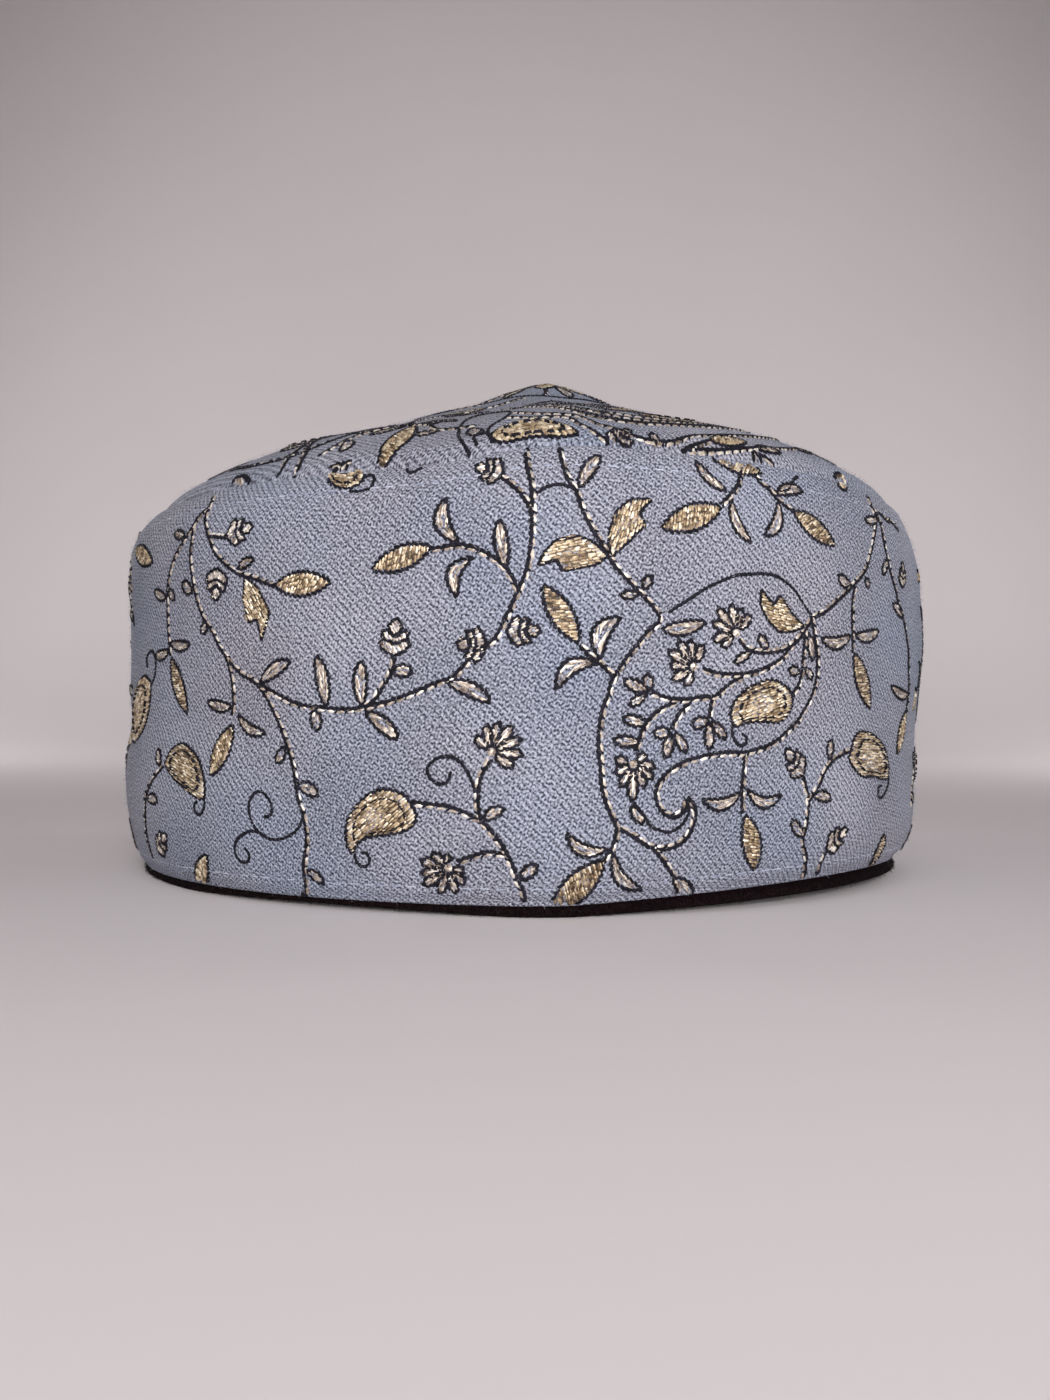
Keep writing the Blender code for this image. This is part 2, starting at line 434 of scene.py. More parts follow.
felt_band = woven_sheet("felt_band", rows, weave_round(rows))

dark_felt = Finish("dark_felt", Roughness=1.0, Specular_IOR_Level=0.04)
place = dark_felt.node("ShaderNodeUVMap", {"uv_map": "weave"})
matted = dark_felt.noise(place, 1.6, 5.0)
dark_felt.paint(
    Base_Color=dark_felt.colours(matted, (0.3, (0.0012, 0.0006, 0.0008)), (0.75, (0.008, 0.0035, 0.0045))),
    Normal=dark_felt.relief(matted, 0.0003),
)
felt_band.data.materials.append(dark_felt.material)
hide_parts("lining_band")


# The rows of stitching. A pale sewing thread runs round the wall just under its folded edge and holds the
# crown, another runs just above the hem, and one on either side of the back seam holds it flat.
def on_cloth(point_at, across, up, lift, unit):
    """Points on the cloth at a place across and up its chart, moved off it by lift, all in millimetres."""
    across, up, small = across * unit[0], up * unit[1], 0.05 * MM
    over = point_at(across + small, up) - point_at(across - small, up)
    along = point_at(across, up + small) - point_at(across, up - small)
    out = np.cross(over, along)
    out /= np.linalg.norm(out, axis=-1, keepdims=True)
    return point_at(across, up) + out * (lift * MM)[..., None]


def on_wall(across, up, lift):
    return on_cloth(wall_point, across, up, lift, (1.0 / CHART_RADIUS, MM))


def on_crown(across, back, lift):
    return on_cloth(crown_point, across, back, lift, (MM, MM))


def sew(name, stitches, lay, finish):
    """One mesh of low arched stitches, each from one place to another with a width, a height and a tone. The
    UV map thread holds the tone and the millimetres along the stitch."""
    start, end = (np.array([stitch[k] for stitch in stitches], float) for k in (0, 1))
    width, lift, tone = (np.array([stitch[k] for stitch in stitches], float) for k in (2, 3, 4))
    along = end - start
    side = np.stack([-along[:, 1], along[:, 0]], -1) / np.linalg.norm(along, axis=1, keepdims=True)
    centre = start[:, None] + along[:, None] * np.array((0.0, 0.22, 0.78, 1.0))[:, None]
    half = side[:, None] * (width[:, None] * np.array((0.2, 0.5, 0.5, 0.2)))[..., None]
    places = np.stack([centre + half, centre, centre - half], 2)
    lifts = np.full((len(start), 4, 3), -0.05)
    lifts[:, 1:3, 1] = lift[:, None]
    lifts[:, 1:3, 0] = lifts[:, 1:3, 2] = 0.02
    points = lay(places[..., 0], places[..., 1], lifts).reshape(-1, 3)
    quads = [(3 * r + c, 3 * r + c + 1, 3 * r + c + 4, 3 * r + c + 3) for r in range(3) for c in range(2)]
    first = np.arange(len(start))[:, None, None] * lifts[0].size
    faces = (first + np.array(quads)).reshape(-1, 4)
    mesh = bpy.data.meshes.new(name)
    mesh.from_pydata(points.tolist(), [], faces.tolist())
    length = np.linalg.norm(along, axis=1)
    corners = 4 * len(quads)
    share = np.tile(np.repeat((0.0, 0.5, 1.0), corners // 3), len(start))
    thread = np.stack([np.repeat(tone, corners), share * np.repeat(length, corners)], -1)
    mesh.uv_layers.new(name="thread").data.foreach_set("uv", thread.astype(np.float32).ravel())
    mesh.shade_smooth()
    piece = piece_of(name, mesh)
    piece.data.materials.append(finish.material)
    return piece


BACK_SEAM = 290.6  # millimetres across the chart, at azimuth 180
rng = random.Random(7)
sewing_thread = Finish("sewing_thread", Roughness=0.6, Specular_IOR_Level=0.4)
thread = sewing_thread.node("ShaderNodeUVMap", {"uv_map": "thread"})
tone = sewing_thread.node("ShaderNodeSeparateXYZ", None, {0: thread}).output("X")
sewing_thread.paint(
    Base_Color=sewing_thread.colours(tone, (0.0, (0.22, 0.25, 0.35)), (1.0, (0.50, 0.53, 0.64))),
)


def row_of_stitches(height_at, length, gap, width):
    stitches, place = [], -math.pi * CHART_RADIUS
    while place < math.pi * CHART_RADIUS:
        size = length * rng.uniform(0.85, 1.15)
        ends = []
        for across in (place, place + size):
            ends.append((across, float(height_at(across / CHART_RADIUS)) + rng.uniform(-0.06, 0.06)))
        stitches.append((*ends, width, 0.13, rng.random()))
        place += size + gap
    return stitches


seam_stitches = row_of_stitches(
    lambda azimuth: seam_height(azimuth) / MM - SEAM_STITCHES, length=2.0, gap=0.8, width=0.24
)
hem_stitches = row_of_stitches(
    lambda azimuth: hem_height(azimuth) / MM + HEM_STITCHES, length=2.6, gap=0.15, width=0.30
)
back_stitches = []
for place in np.arange(6.0, 72.0, 2.2):
    for side in (-1.1, 1.1):
        across = BACK_SEAM + side
        back_stitches.append(((across, place), (across, place + 1.7), 0.26, 0.12, rng.random()))
sew("seam_topstitch", seam_stitches, on_wall, sewing_thread)
sew("hem_topstitch", hem_stitches, on_wall, sewing_thread)
sew("back_seam_stitches", back_stitches, on_wall, sewing_thread)


# The embroidery of the wall. Vines of paisleys, leaves, buds and daisies, worked by hand before the cap is
# sewn up: gold and pale metal thread in satin and long-and-short stitches, and a black cord in stem stitch
# round every shape and beside every stem. Places are millimetres across from the front and up from the
# floor.
FILLED_LEAVES = (  # base, tip, width
    ((-45.2, 56.5), (-33.6, 56.5), 4.3),
    ((-15.3, 61.8), (-25.7, 58.3), 4),
    ((8.8, 45.8), (3, 55.2), 3.8),
    ((34, 70), (22.7, 65.4), 4.5),
    ((50.5, 71), (60.8, 66), 4),
    ((66.5, 46.3), (74, 36.3), 4.5),
    ((39.7, 17), (43.3, 7.2), 4),
    ((13.3, 10), (5, 1), 4.8),
    ((-56, 32), (-61, 22.8), 4.5),
    ((-76.5, 45), (-70.8, 34.2), 4),
    ((-71, 0.5), (-63.7, 8), 3.5),
    ((94, 36), (87.5, 27.3), 4),
    ((44.5, 77.7), (33.5, 80), 4),
    ((66.5, 78), (70, 79.8), 2.5),
    ((-99, 69), (-85, 64.7), 4),
    ((84, 5), (82, 11.5), 4),
)
OPEN_LEAVES = (  # base, tip, width, bend to the left
    ((-54.2, 60), (-50, 61.6), 1.6, 0.3),
    ((-48.5, 39.5), (-41.5, 43.2), 2.5, 0.4),
    ((-34.4, 35), (-36, 44), 2.5, -0.4),
    ((-36.7, 34.8), (-36.2, 31), 2.3, 0),
    ((-27.5, 35.3), (-27.5, 43), 2.5, 0.3),
    ((-22, 41), (-18.4, 41), 2.2, 0.2),
    ((-27, 34.3), (-21, 29.8), 2.5, 0.3),
    ((-12.5, 39.3), (-5.3, 36), 2.4, 0.5),
    ((-10.6, 62.3), (-13, 70), 2.6, 1.8),
    ((-8.3, 60), (-11, 53.3), 2.4, -2),
    ((-3, 58), (-4.1, 66), 2.3, 0.2),
    ((8.6, 71.5), (12.6, 77.8), 2.2, 0.3),
    ((19.3, 55), (21, 57.5), 1.6, 0),
    ((18.7, 54.2), (15.5, 53.7), 1.4, 0),
    ((12.3, 43), (15.5, 50.3), 3, 1.8),
    ((12, 42.5), (5.2, 38.1), 2.5, -1.9),
    ((31, 50), (22.9, 48.4), 2.4, 0.4),
    ((35.6, 73), (30.4, 78.2), 2, 0.8),
    ((36.3, 71.8), (40.2, 64.4), 2, -1.4),
    ((46.8, 73.8), (54, 75.5), 2.2, 0.6),
    ((46.9, 72.5), (43.2, 65.8), 2.4, 1.5),
    ((65.5, 59), (61.6, 60.3), 2.2, 0.2),
    ((71, 61), (72.5, 59.3), 1.8, 0),
    ((78, 73.3), (72.3, 72.3), 1.7, 0.2),
    ((65.3, 49.7), (56.3, 48.3), 2.3, 1.2),
    ((66.7, 49.7), (76.5, 51.3), 2.2, -0.7),
    ((14, 12), (7, 14.5), 2, 1.7),
    ((14.8, 11.5), (20.8, 4.7), 2, -1.8),
    ((26.3, 6.5), (31.5, 1.5), 2.5, 0.5),
    ((-0.3, 6.8), (2.3, 9.5), 2, 0),
    ((-6.3, 16.7), (-3, 18.7), 1.8, 0.2),
    ((38.5, 21), (30.8, 19.8), 2, 1.5),
    ((39.8, 21.5), (47.8, 20.4), 2, -1.9),
    ((53.8, 12.8), (50.3, 15.8), 2, 0.2),
    ((55.8, 20), (60.7, 19.3), 2, 0.3),
    ((60, 26.5), (60.5, 30.2), 2, 0),
    ((-39, 6.8), (-35.7, 4.7), 1.8, 0.2),
    ((-43, 28.3), (-44.6, 25.3), 2, 0),
    ((-40.2, 21.8), (-35.6, 20), 2.2, 0.3),
    ((-54.5, 34), (-47.5, 30.7), 1.9, -1.2),
    ((-56, 35.3), (-63.3, 36.3), 2, 0.4),
    ((-70, 67.8), (-74.5, 68.8), 1.8, 0),
    ((-67.3, 57), (-71, 58.8), 2.5, 0),
    ((-78.5, 57), (-84.8, 58.8), 2, 0.3),
    ((-77.5, 58.3), (-74.3, 56.2), 1.8, 0),
    ((-77.3, 48), (-69, 47.3), 2, -0.5),
    ((-77.5, 46.5), (-84.5, 46), 2, 0.5),
    ((-63, 51), (-64.8, 49), 2, 0),
    ((-86, 17.3), (-80.3, 17.2), 2, 0.3),
    ((-80, 24), (-82, 27.3), 2, 0),
    ((95, 39.5), (83, 40.8), 2, 0.8),
    ((80, 65.5), (78, 62.3), 2, 0),
    ((83, 57), (89, 55), 2.2, 0.3),
    ((43.5, 45.8), (41.5, 48.3), 1.8, 0),
    ((40, 45.3), (36.5, 43.2), 1.5, 0),
    ((53, 49.3), (54.4, 44.3), 2, 0.2),
    ((51.3, 42.3), (48.3, 42.3), 1.8, 0),
    ((52.5, 43), (54.5, 41), 1.6, 0),
    ((20.8, 38), (16.3, 39.8), 1.9, 0),
    ((21, 38.2), (20.3, 41), 2, 0),
    ((20.5, 37.7), (17.5, 35.5), 1.5, 0),
    ((20.8, 32.7), (16.3, 33.5), 1.8, 0),
    ((19.3, 29.5), (14.7, 29.8), 1.9, 0),
    ((25, 31.3), (21.8, 31), 2, 0),
    ((25, 31), (24, 26.8), 2, 0),
    ((25.7, 31.2), (28, 27.8), 1.7, 0),
    ((32, 33.5), (28.9, 32.3), 2, 0),
    ((32.2, 33), (32.2, 28.3), 1.8, 0),
    ((32.6, 33.3), (35.5, 30.2), 1.6, 0),
    ((17.8, 19), (20, 16), 1.8, 0),
)
BUDS = (  # base, tip, width
    ((-57, 66.3), (-50.5, 67.6), 5),
    ((-21.7, 43.6), (-21.4, 50), 5.5),
    ((-6, 45.3), (-11, 45.5), 6),
    ((-2.8, 47.5), (2.7, 47.8), 5),
    ((-3.5, 74), (-8.5, 75.5), 5),
    ((-59.5, 60.7), (-60.3, 54.7), 6),
    ((53.2, 23.8), (48.3, 28.4), 5),
    ((60.7, 10), (66, 13.7), 5),
    ((-84, 7), (-77.3, 11), 4.5),
    ((89, 61), (89, 66.3), 5),
)
BUD_TIERS = (  # along the bud, out to its side
    ((0.0, 0.0), (0.1, 0.42), (0.24, 0.9), (0.38, 1.0), (0.46, 0.8), (0.4, 0.4), (0.33, 0.0)),
    ((0.4, 0.5), (0.5, 0.82), (0.64, 0.85), (0.71, 0.72), (0.6, 0.36), (0.5, 0.0)),
    ((0.55, 0.0), (0.64, 0.32), (0.78, 0.44), (0.9, 0.28), (1.0, 0.0)),
)
DAISIES = (  # middle, tips of the petals
    ((36.9, 48.4), ((39.8, 51.7), (38, 52.8), (35.8, 53.4), (33, 52.5), (32, 50), (32.2, 47), (34, 45.8))),
    ((29, 42.4), ((30.5, 46.2), (28, 47), (25.8, 46.7), (24, 44.9), (24.5, 42.5), (25, 40), (27.5, 39))),
    (
        (18.2, 25.9),
        (
            (15, 26.7), (15, 24.3), (16, 22), (18, 19.7), (20.3, 22), (21.8, 23.6), (22.2, 25.5),
            (20.5, 27.5),
        ),
    ),
    (
        (-12.2, 8.5),
        (
            (-12.5, 11), (-15, 11), (-17, 9.6), (-17, 7.3), (-16.8, 5.2), (-14, 4), (-11.2, 4.2),
            (-9.5, 5.9), (-9.5, 8),
        ),
    ),
    (
        (-5.1, 27.8),
        ((-7.7, 30.3), (-6, 32.3), (-4, 32.8), (-1.7, 32.2), (-0.3, 30.1), (0, 27.5), (-1.5, 25.3)),
    ),
)
FORKED_LEAVES = (  # round the outline, from the base
    ((-52.5, 58.6), (-49.6, 56.6), (-46.5, 52), (-48.3, 47), (-49.6, 50.8), (-51.5, 50.3), (-53, 54.5)),
    (
        (13.5, 60.3), (11, 62.5), (8.5, 63.4), (5, 62.6), (3, 60.5), (2.2, 58.5), (5, 59.4), (6.2, 57.6),
        (9, 58.3), (11.5, 58.8),
    ),
    (
        (14, 60), (13.5, 62.5), (13.7, 64.5), (15, 68), (17.5, 70), (21, 70.3), (18.9, 67.8), (19.8, 65.8),
        (18, 64), (16, 62),
    ),
    (
        (52, 50.3), (51, 51), (49, 52.6), (46.5, 55.5), (45, 53.8), (42.3, 56.3), (42, 53.5), (43.5, 51),
        (46, 49), (49, 49.3),
    ),
)
PAISLEYS = (  # outline, curl of the tip
    (
        (
            (-18, 18.5), (-17.3, 17.2), (-17.9, 15.8), (-19.5, 14.6), (-22, 13.9), (-25, 13.5),
            (-27.3, 12.8), (-28.7, 11.3), (-29, 10.3), (-29.9, 11), (-30.3, 13), (-30, 15.6), (-28.5, 18),
            (-26, 20.3), (-23, 21.4), (-21, 21.1), (-19, 20.1),
        ),
        ((-28.8, 10.4), (-28.6, 8.8), (-27.6, 8.1), (-26.4, 8.5), (-26, 9.6), (-26.8, 10.7), (-27.5, 10.4)),
    ),
    (
        (
            (37, 32.2), (36.2, 34.2), (36.7, 36.2), (38.5, 38.2), (41, 39.6), (44.5, 40.5), (47.5, 39.7),
            (49.5, 38.1), (49.7, 36), (48.5, 34.3), (46.5, 33.2), (43, 33.3), (39.5, 33),
        ),
        ((36.6, 32.6), (36.8, 30.6), (37.6, 29.4), (38.6, 28.9), (39.6, 29.6), (39.4, 30.7), (38.5, 31)),
    ),
    (
        (
            (65.7, 26.6), (66.5, 28), (68, 30.8), (72.5, 31.6), (77, 30.4), (80, 28.8), (81.8, 26.4),
            (82.5, 24.4), (82, 22.8), (79.5, 22.6), (75, 23.2), (70, 23.4), (67.5, 24.8),
        ),
        ((82.3, 24), (82.3, 21.5), (80.5, 19.6), (78.5, 18.8), (77, 19.6), (77, 20.8), (78.8, 21.3)),
    ),
    (
        (
            (-78, 24.5), (-76.5, 26.9), (-74.5, 28.1), (-71.5, 28.4), (-68.5, 27.4), (-65.5, 25.7),
            (-63.7, 23.4), (-62.7, 21), (-62.8, 18.6), (-65.5, 18.7), (-68.5, 19.8), (-71.5, 20.9),
            (-74.5, 22.2),
        ),
        ((-62.7, 19), (-62.9, 16.8), (-64.2, 15.4), (-65.9, 15.9), (-66.1, 17.2), (-65, 17.9)),
    ),
    (
        (
            (-85.8, 40.5), (-87, 36.5), (-90, 33), (-95, 29.8), (-100, 28.5), (-104, 30), (-105, 34),
            (-102, 38), (-96, 41), (-90, 42),
        ),
        ((-86, 40), (-84, 42), (-84, 45), (-87, 47), (-90, 45.5), (-89, 43.8)),
    ),
    (
        (
            (-37, 76), (-35, 74.2), (-33, 73.2), (-30.5, 73), (-28.8, 74), (-29.5, 76.5), (-31, 78.5),
            (-34, 79),
        ),
        ((-31, 72.4), (-28.6, 72.1), (-26.8, 72.8), (-26.5, 74.4), (-27.8, 75.3), (-28.9, 74.4)),
    ),
)
STEMS = (
    ((0, 80), (0.5, 75), (1.2, 71.3), (1.3, 67), (1.2, 62.5), (0.7, 58.8), (-0.3, 55.5), (-1, 54.1)),
    ((-4, 73.5), (-1.5, 71.5), (0.5, 68.8), (1.2, 67)),
    (
        (5.7, 80), (6.3, 75.5), (7, 73), (8.4, 71.1), (9, 68.8), (10.5, 65.5), (12, 63.1), (14.2, 59.5),
        (16, 57.4), (17.5, 56), (19, 54.5), (20.5, 53.1), (22, 51.4), (22.8, 50.4), (20.5, 47.9), (19, 46),
        (17, 43.6), (15.3, 41), (14.8, 40.4), (14, 37.5), (13, 34.7), (12.5, 31.2), (12.5, 28), (12.8, 25),
        (13, 22), (13.8, 19.3), (14.6, 17.4), (15.6, 15.4), (15.3, 13.7), (14.8, 12), (13.2, 9.8),
    ),
    ((9, 45.5), (10.5, 44), (12.4, 42.6), (13.8, 41.3), (14.7, 40.4)),
    (
        (-1, 54.1), (-2, 56.2), (-3.2, 58.1), (-5, 59.6), (-7, 60.8), (-9, 61.6), (-11, 61.9), (-13, 61.5),
        (-15.5, 61.3),
    ),
    ((-1, 54.1), (-1.8, 52), (-2.7, 50.1), (-3.5, 48.4), (-4.2, 46.8), (-6, 45.2)),
    (
        (-6, 45.3), (-8.7, 43), (-10.3, 41.1), (-12, 39.7), (-13.5, 39.3), (-16, 38.3), (-18.5, 37.3),
        (-21.5, 36.3), (-24.5, 35.5), (-27.3, 35), (-29.5, 34.6), (-33, 34.7), (-37, 35.1), (-40, 35.5),
        (-42.5, 36.4), (-45, 37.5), (-48.7, 39),
    ),
    ((-27, 35.3), (-25, 36.8), (-23.7, 38.9), (-22.3, 40.8), (-21.7, 43.5)),
    (
        (-65, 75.3), (-64, 73), (-64, 71.2), (-63, 68.4), (-61.5, 66.2), (-60, 63.8), (-57.5, 61.6),
        (-54.5, 59.6), (-50, 58.2), (-45.2, 56.5),
    ),
    ((-61.8, 67), (-57, 66.2)),
    (
        (-64.5, 72.5), (-67, 70), (-67.2, 67), (-67.2, 63.5), (-67, 60.7), (-66.7, 58.4), (-66, 56),
        (-65, 53.8), (-64, 52), (-62.5, 50.5), (-61, 48.8), (-59.5, 46.6), (-57.5, 44.6), (-55, 42.5),
        (-53, 41.1), (-51, 40.4), (-48.7, 39), (-47, 37), (-45.5, 34.5), (-44.3, 32.3), (-43, 29.7),
        (-41.7, 27), (-40.8, 24.7), (-40.3, 22), (-39.7, 19), (-38.7, 16.4), (-38.3, 13.8), (-38.4, 11),
        (-39.3, 8), (-39.6, 5), (-40, 3), (-42.3, 1.4),
    ),
    ((-57.5, 44.6), (-56.3, 42), (-55.5, 39), (-55.5, 36), (-56, 33.8)),
    (
        (-64, 73), (-66.3, 70.7), (-68, 68.7), (-70, 67), (-72.5, 65), (-74.5, 62.9), (-76, 61.1),
        (-77.5, 58.8), (-77.8, 56), (-77.8, 53), (-77.7, 50.3), (-77.3, 48.3), (-76.7, 45.5),
    ),
    ((40, 77.5), (38, 73.9), (36.7, 72.7), (35.5, 71.5), (34, 70.3)),
    ((42.5, 77.5), (44, 75.4), (45.5, 74.5), (46.4, 73.4), (49.5, 71.6), (50.5, 71)),
    (
        (54.2, 52.2), (57, 53.3), (60, 55.1), (63, 57), (64.5, 57.9), (66, 58.9), (68.5, 60.5), (70.5, 62),
        (72, 64), (73.5, 67), (75.5, 70.5), (77, 73), (77.5, 78),
    ),
    ((67.5, 59), (66.5, 57), (66, 55), (65.8, 52.5), (66, 50.4), (66, 48), (66.3, 46.4)),
    (
        (78, 76), (79, 71.5), (79, 68.5), (80, 66), (83.5, 61.5), (85, 60), (86, 58), (88, 56), (90, 53.5),
        (91, 51), (92.5, 48.5), (93, 46), (95, 39.5), (94, 36),
    ),
    ((80, 75.3), (83, 74), (86, 74.3), (90, 73)),
    (
        (37.5, 47.5), (39, 46), (40.5, 45.5), (44, 45.5), (47, 46), (49.5, 47.3), (51.5, 49), (52.3, 50),
        (54, 52),
    ),
    ((52.3, 50), (52.3, 48), (52, 45), (51.8, 42), (51, 39.5), (49.5, 38)),
    ((49.5, 47), (46.5, 44.1), (43.5, 42.6), (40.5, 41.6), (37, 41.2), (33, 41.3), (30.5, 42)),
    (
        (38.5, 40.8), (36, 39.6), (34.5, 38.3), (33.3, 37.3), (31, 37.2), (28, 36.7), (25.5, 36.7),
        (23, 37.2), (21.2, 38),
    ),
    ((26, 36.2), (23.5, 35.2), (22, 34.1), (21, 33), (20, 31.6), (19.3, 29.5), (18.7, 28)),
    ((28.5, 36), (27, 34.7), (26, 33.1), (25.3, 31.6)),
    ((32.8, 36.8), (32.5, 34.9), (32.3, 33.5)),
    (
        (54, 52.2), (54.5, 49.9), (55.3, 47), (55.7, 44), (55.6, 41), (54.5, 37.4), (53, 35.4),
        (51.5, 33.4), (49, 31.7), (46.5, 29.9), (44, 28.8), (41, 28.1), (39.5, 27.7), (36, 27.7),
        (32, 27.3), (30, 26.8), (28, 26.3), (26, 25.4), (24.5, 24.4), (23, 23), (22.3, 21.4), (22.4, 20),
        (23, 18.5), (24.4, 17.3), (25.9, 17.2), (27.4, 18.1), (27.9, 20.2),
    ),
    (
        (16, 15.4), (19.3, 13.5), (21.3, 12.2), (23.6, 11.8), (26, 12.2), (27.6, 13.2), (28.9, 15),
        (29.5, 17.1), (29.3, 18.7), (27.9, 20.2),
    ),
    ((21.8, 12), (23.5, 10.4), (25.5, 8), (27, 6.3)),
    ((39.3, 27.6), (39.2, 25), (39, 22.6), (39, 20), (39.3, 17.3)),
    (
        (58, 3), (56.5, 6.4), (55, 9.6), (53.7, 11.4), (53.5, 12.8), (54.2, 14.6), (54.5, 17.2),
        (54.5, 19.7), (53.7, 21.4), (53, 23.4),
    ),
    ((54.5, 19), (57.5, 22.4), (58.5, 24.2), (60.5, 26.1), (63, 27.3), (65, 28), (66.5, 28)),
    ((61.5, 4), (60.5, 7.8), (60.6, 9.6)),
    (
        (0.4, 1.8), (0, 5), (-0.7, 6.3), (-1.5, 8.4), (-2.5, 10.9), (-4, 13.3), (-5.7, 15.3), (-6.7, 16.4),
        (-7.3, 19), (-7.3, 21.3), (-7, 23.4), (-6, 25.5), (-5.2, 26.7),
    ),
    ((-2.7, 10.8), (-5, 11.3), (-8, 10.5), (-10.7, 9.5)),
    ((-6.7, 16.5), (-8, 17), (-10, 18), (-13, 18.7), (-16, 19), (-18.3, 19.2)),
    (
        (-89.5, 5), (-90, 10), (-89, 12.8), (-88, 15.2), (-87, 17.6), (-85.5, 19.3), (-83.5, 21),
        (-81, 22.7), (-78.5, 24.2),
    ),
)
CORDS = (
    (
        (18.2, 19.6), (19.2, 18.3), (20.5, 16.8), (21.2, 15.5), (22.9, 14.9), (24.5, 14.4), (26.2, 15.1),
        (27.5, 16.2), (28.3, 17.7), (28.1, 19.6),
    ),
    ((1.7, 70.3), (3.5, 71.5), (5.5, 72), (8, 71.3)),
    ((46.3, 74.3), (50, 75), (52, 77), (54, 78.3)),
    ((-21, 76), (-20, 75), (-18, 76)),
    (
        (24, 51.3), (25.5, 52.3), (28, 53.9), (31, 55.8), (34, 57.2), (37, 58.4), (40, 58.8), (43.5, 59.1),
        (46, 58.9), (48.5, 57.8), (50.5, 56.3), (52, 54.4), (54, 52.2),
    ),
    (
        (-39, 16), (-40.3, 14), (-42.5, 12.6), (-45.5, 11.9), (-48, 12.5), (-49.3, 13.3), (-50.7, 15.5),
        (-51, 17.7), (-50, 19.7), (-48.5, 20.4), (-46.8, 19.5), (-45.7, 17.7), (-46, 16.2), (-47.5, 15.8),
    ),
    (
        (-49, 13), (-50.5, 13.2), (-53, 12.4), (-54.8, 11), (-55.4, 9.2), (-54.7, 7.7), (-53.3, 7.3),
        (-52, 8), (-51.8, 9.2), (-52.8, 10),
    ),
    (
        (-7.5, 21), (-8.2, 23), (-9.5, 25.3), (-10.7, 26.6), (-12.5, 27), (-14.5, 26.4), (-15.7, 24.8),
        (-15, 23.2), (-13.3, 22.4), (-12, 23), (-11.8, 24.5),
    ),
)


def evenly(path, spacing):
    """Places at an even spacing along a smooth line through the points of a path."""
    apart = [point for k, point in enumerate(path) if k == 0 or math.dist(point, path[k - 1]) > 0.01]
    path = np.array(apart, float)
    run = np.concatenate([[0.0], np.cumsum(np.linalg.norm(np.diff(path, axis=0), axis=1))])
    places = np.linspace(0.0, run[-1], max(2, round(run[-1] / spacing) + 1))
    if len(path) == 2:
        return np.stack([np.interp(places, run, path[:, k]) for k in (0, 1)], -1)
    return np.stack([smoothly(places, run, path[:, k]) for k in (0, 1)], -1)


def beside(line, offset):
    along = np.gradient(line, axis=0)
    along /= np.linalg.norm(along, axis=1, keepdims=True)
    return line + offset * np.stack([-along[:, 1], along[:, 0]], -1)


def leaf_form(base, tip, width, bend=0.0, fullest=0.5, steps=9, taper=0.75):
    """The two sides and the midrib of a leaf, each from its base to its tip."""
    base, tip = np.array(base, float), np.array(tip, float)
    share = np.linspace(0.0, 1.0, steps)
    left = np.array((base[1] - tip[1], tip[0] - base[0]))
    left /= np.linalg.norm(left)
    midrib = base + (tip - base) * share[:, None] + left * (bend * 4.0 * share * (1.0 - share))[:, None]
    swell = np.sin(np.pi * share ** (math.log(0.5) / math.log(fullest))) ** taper * width / 2.0
    return midrib + left * swell[:, None], midrib - left * swell[:, None], midrib


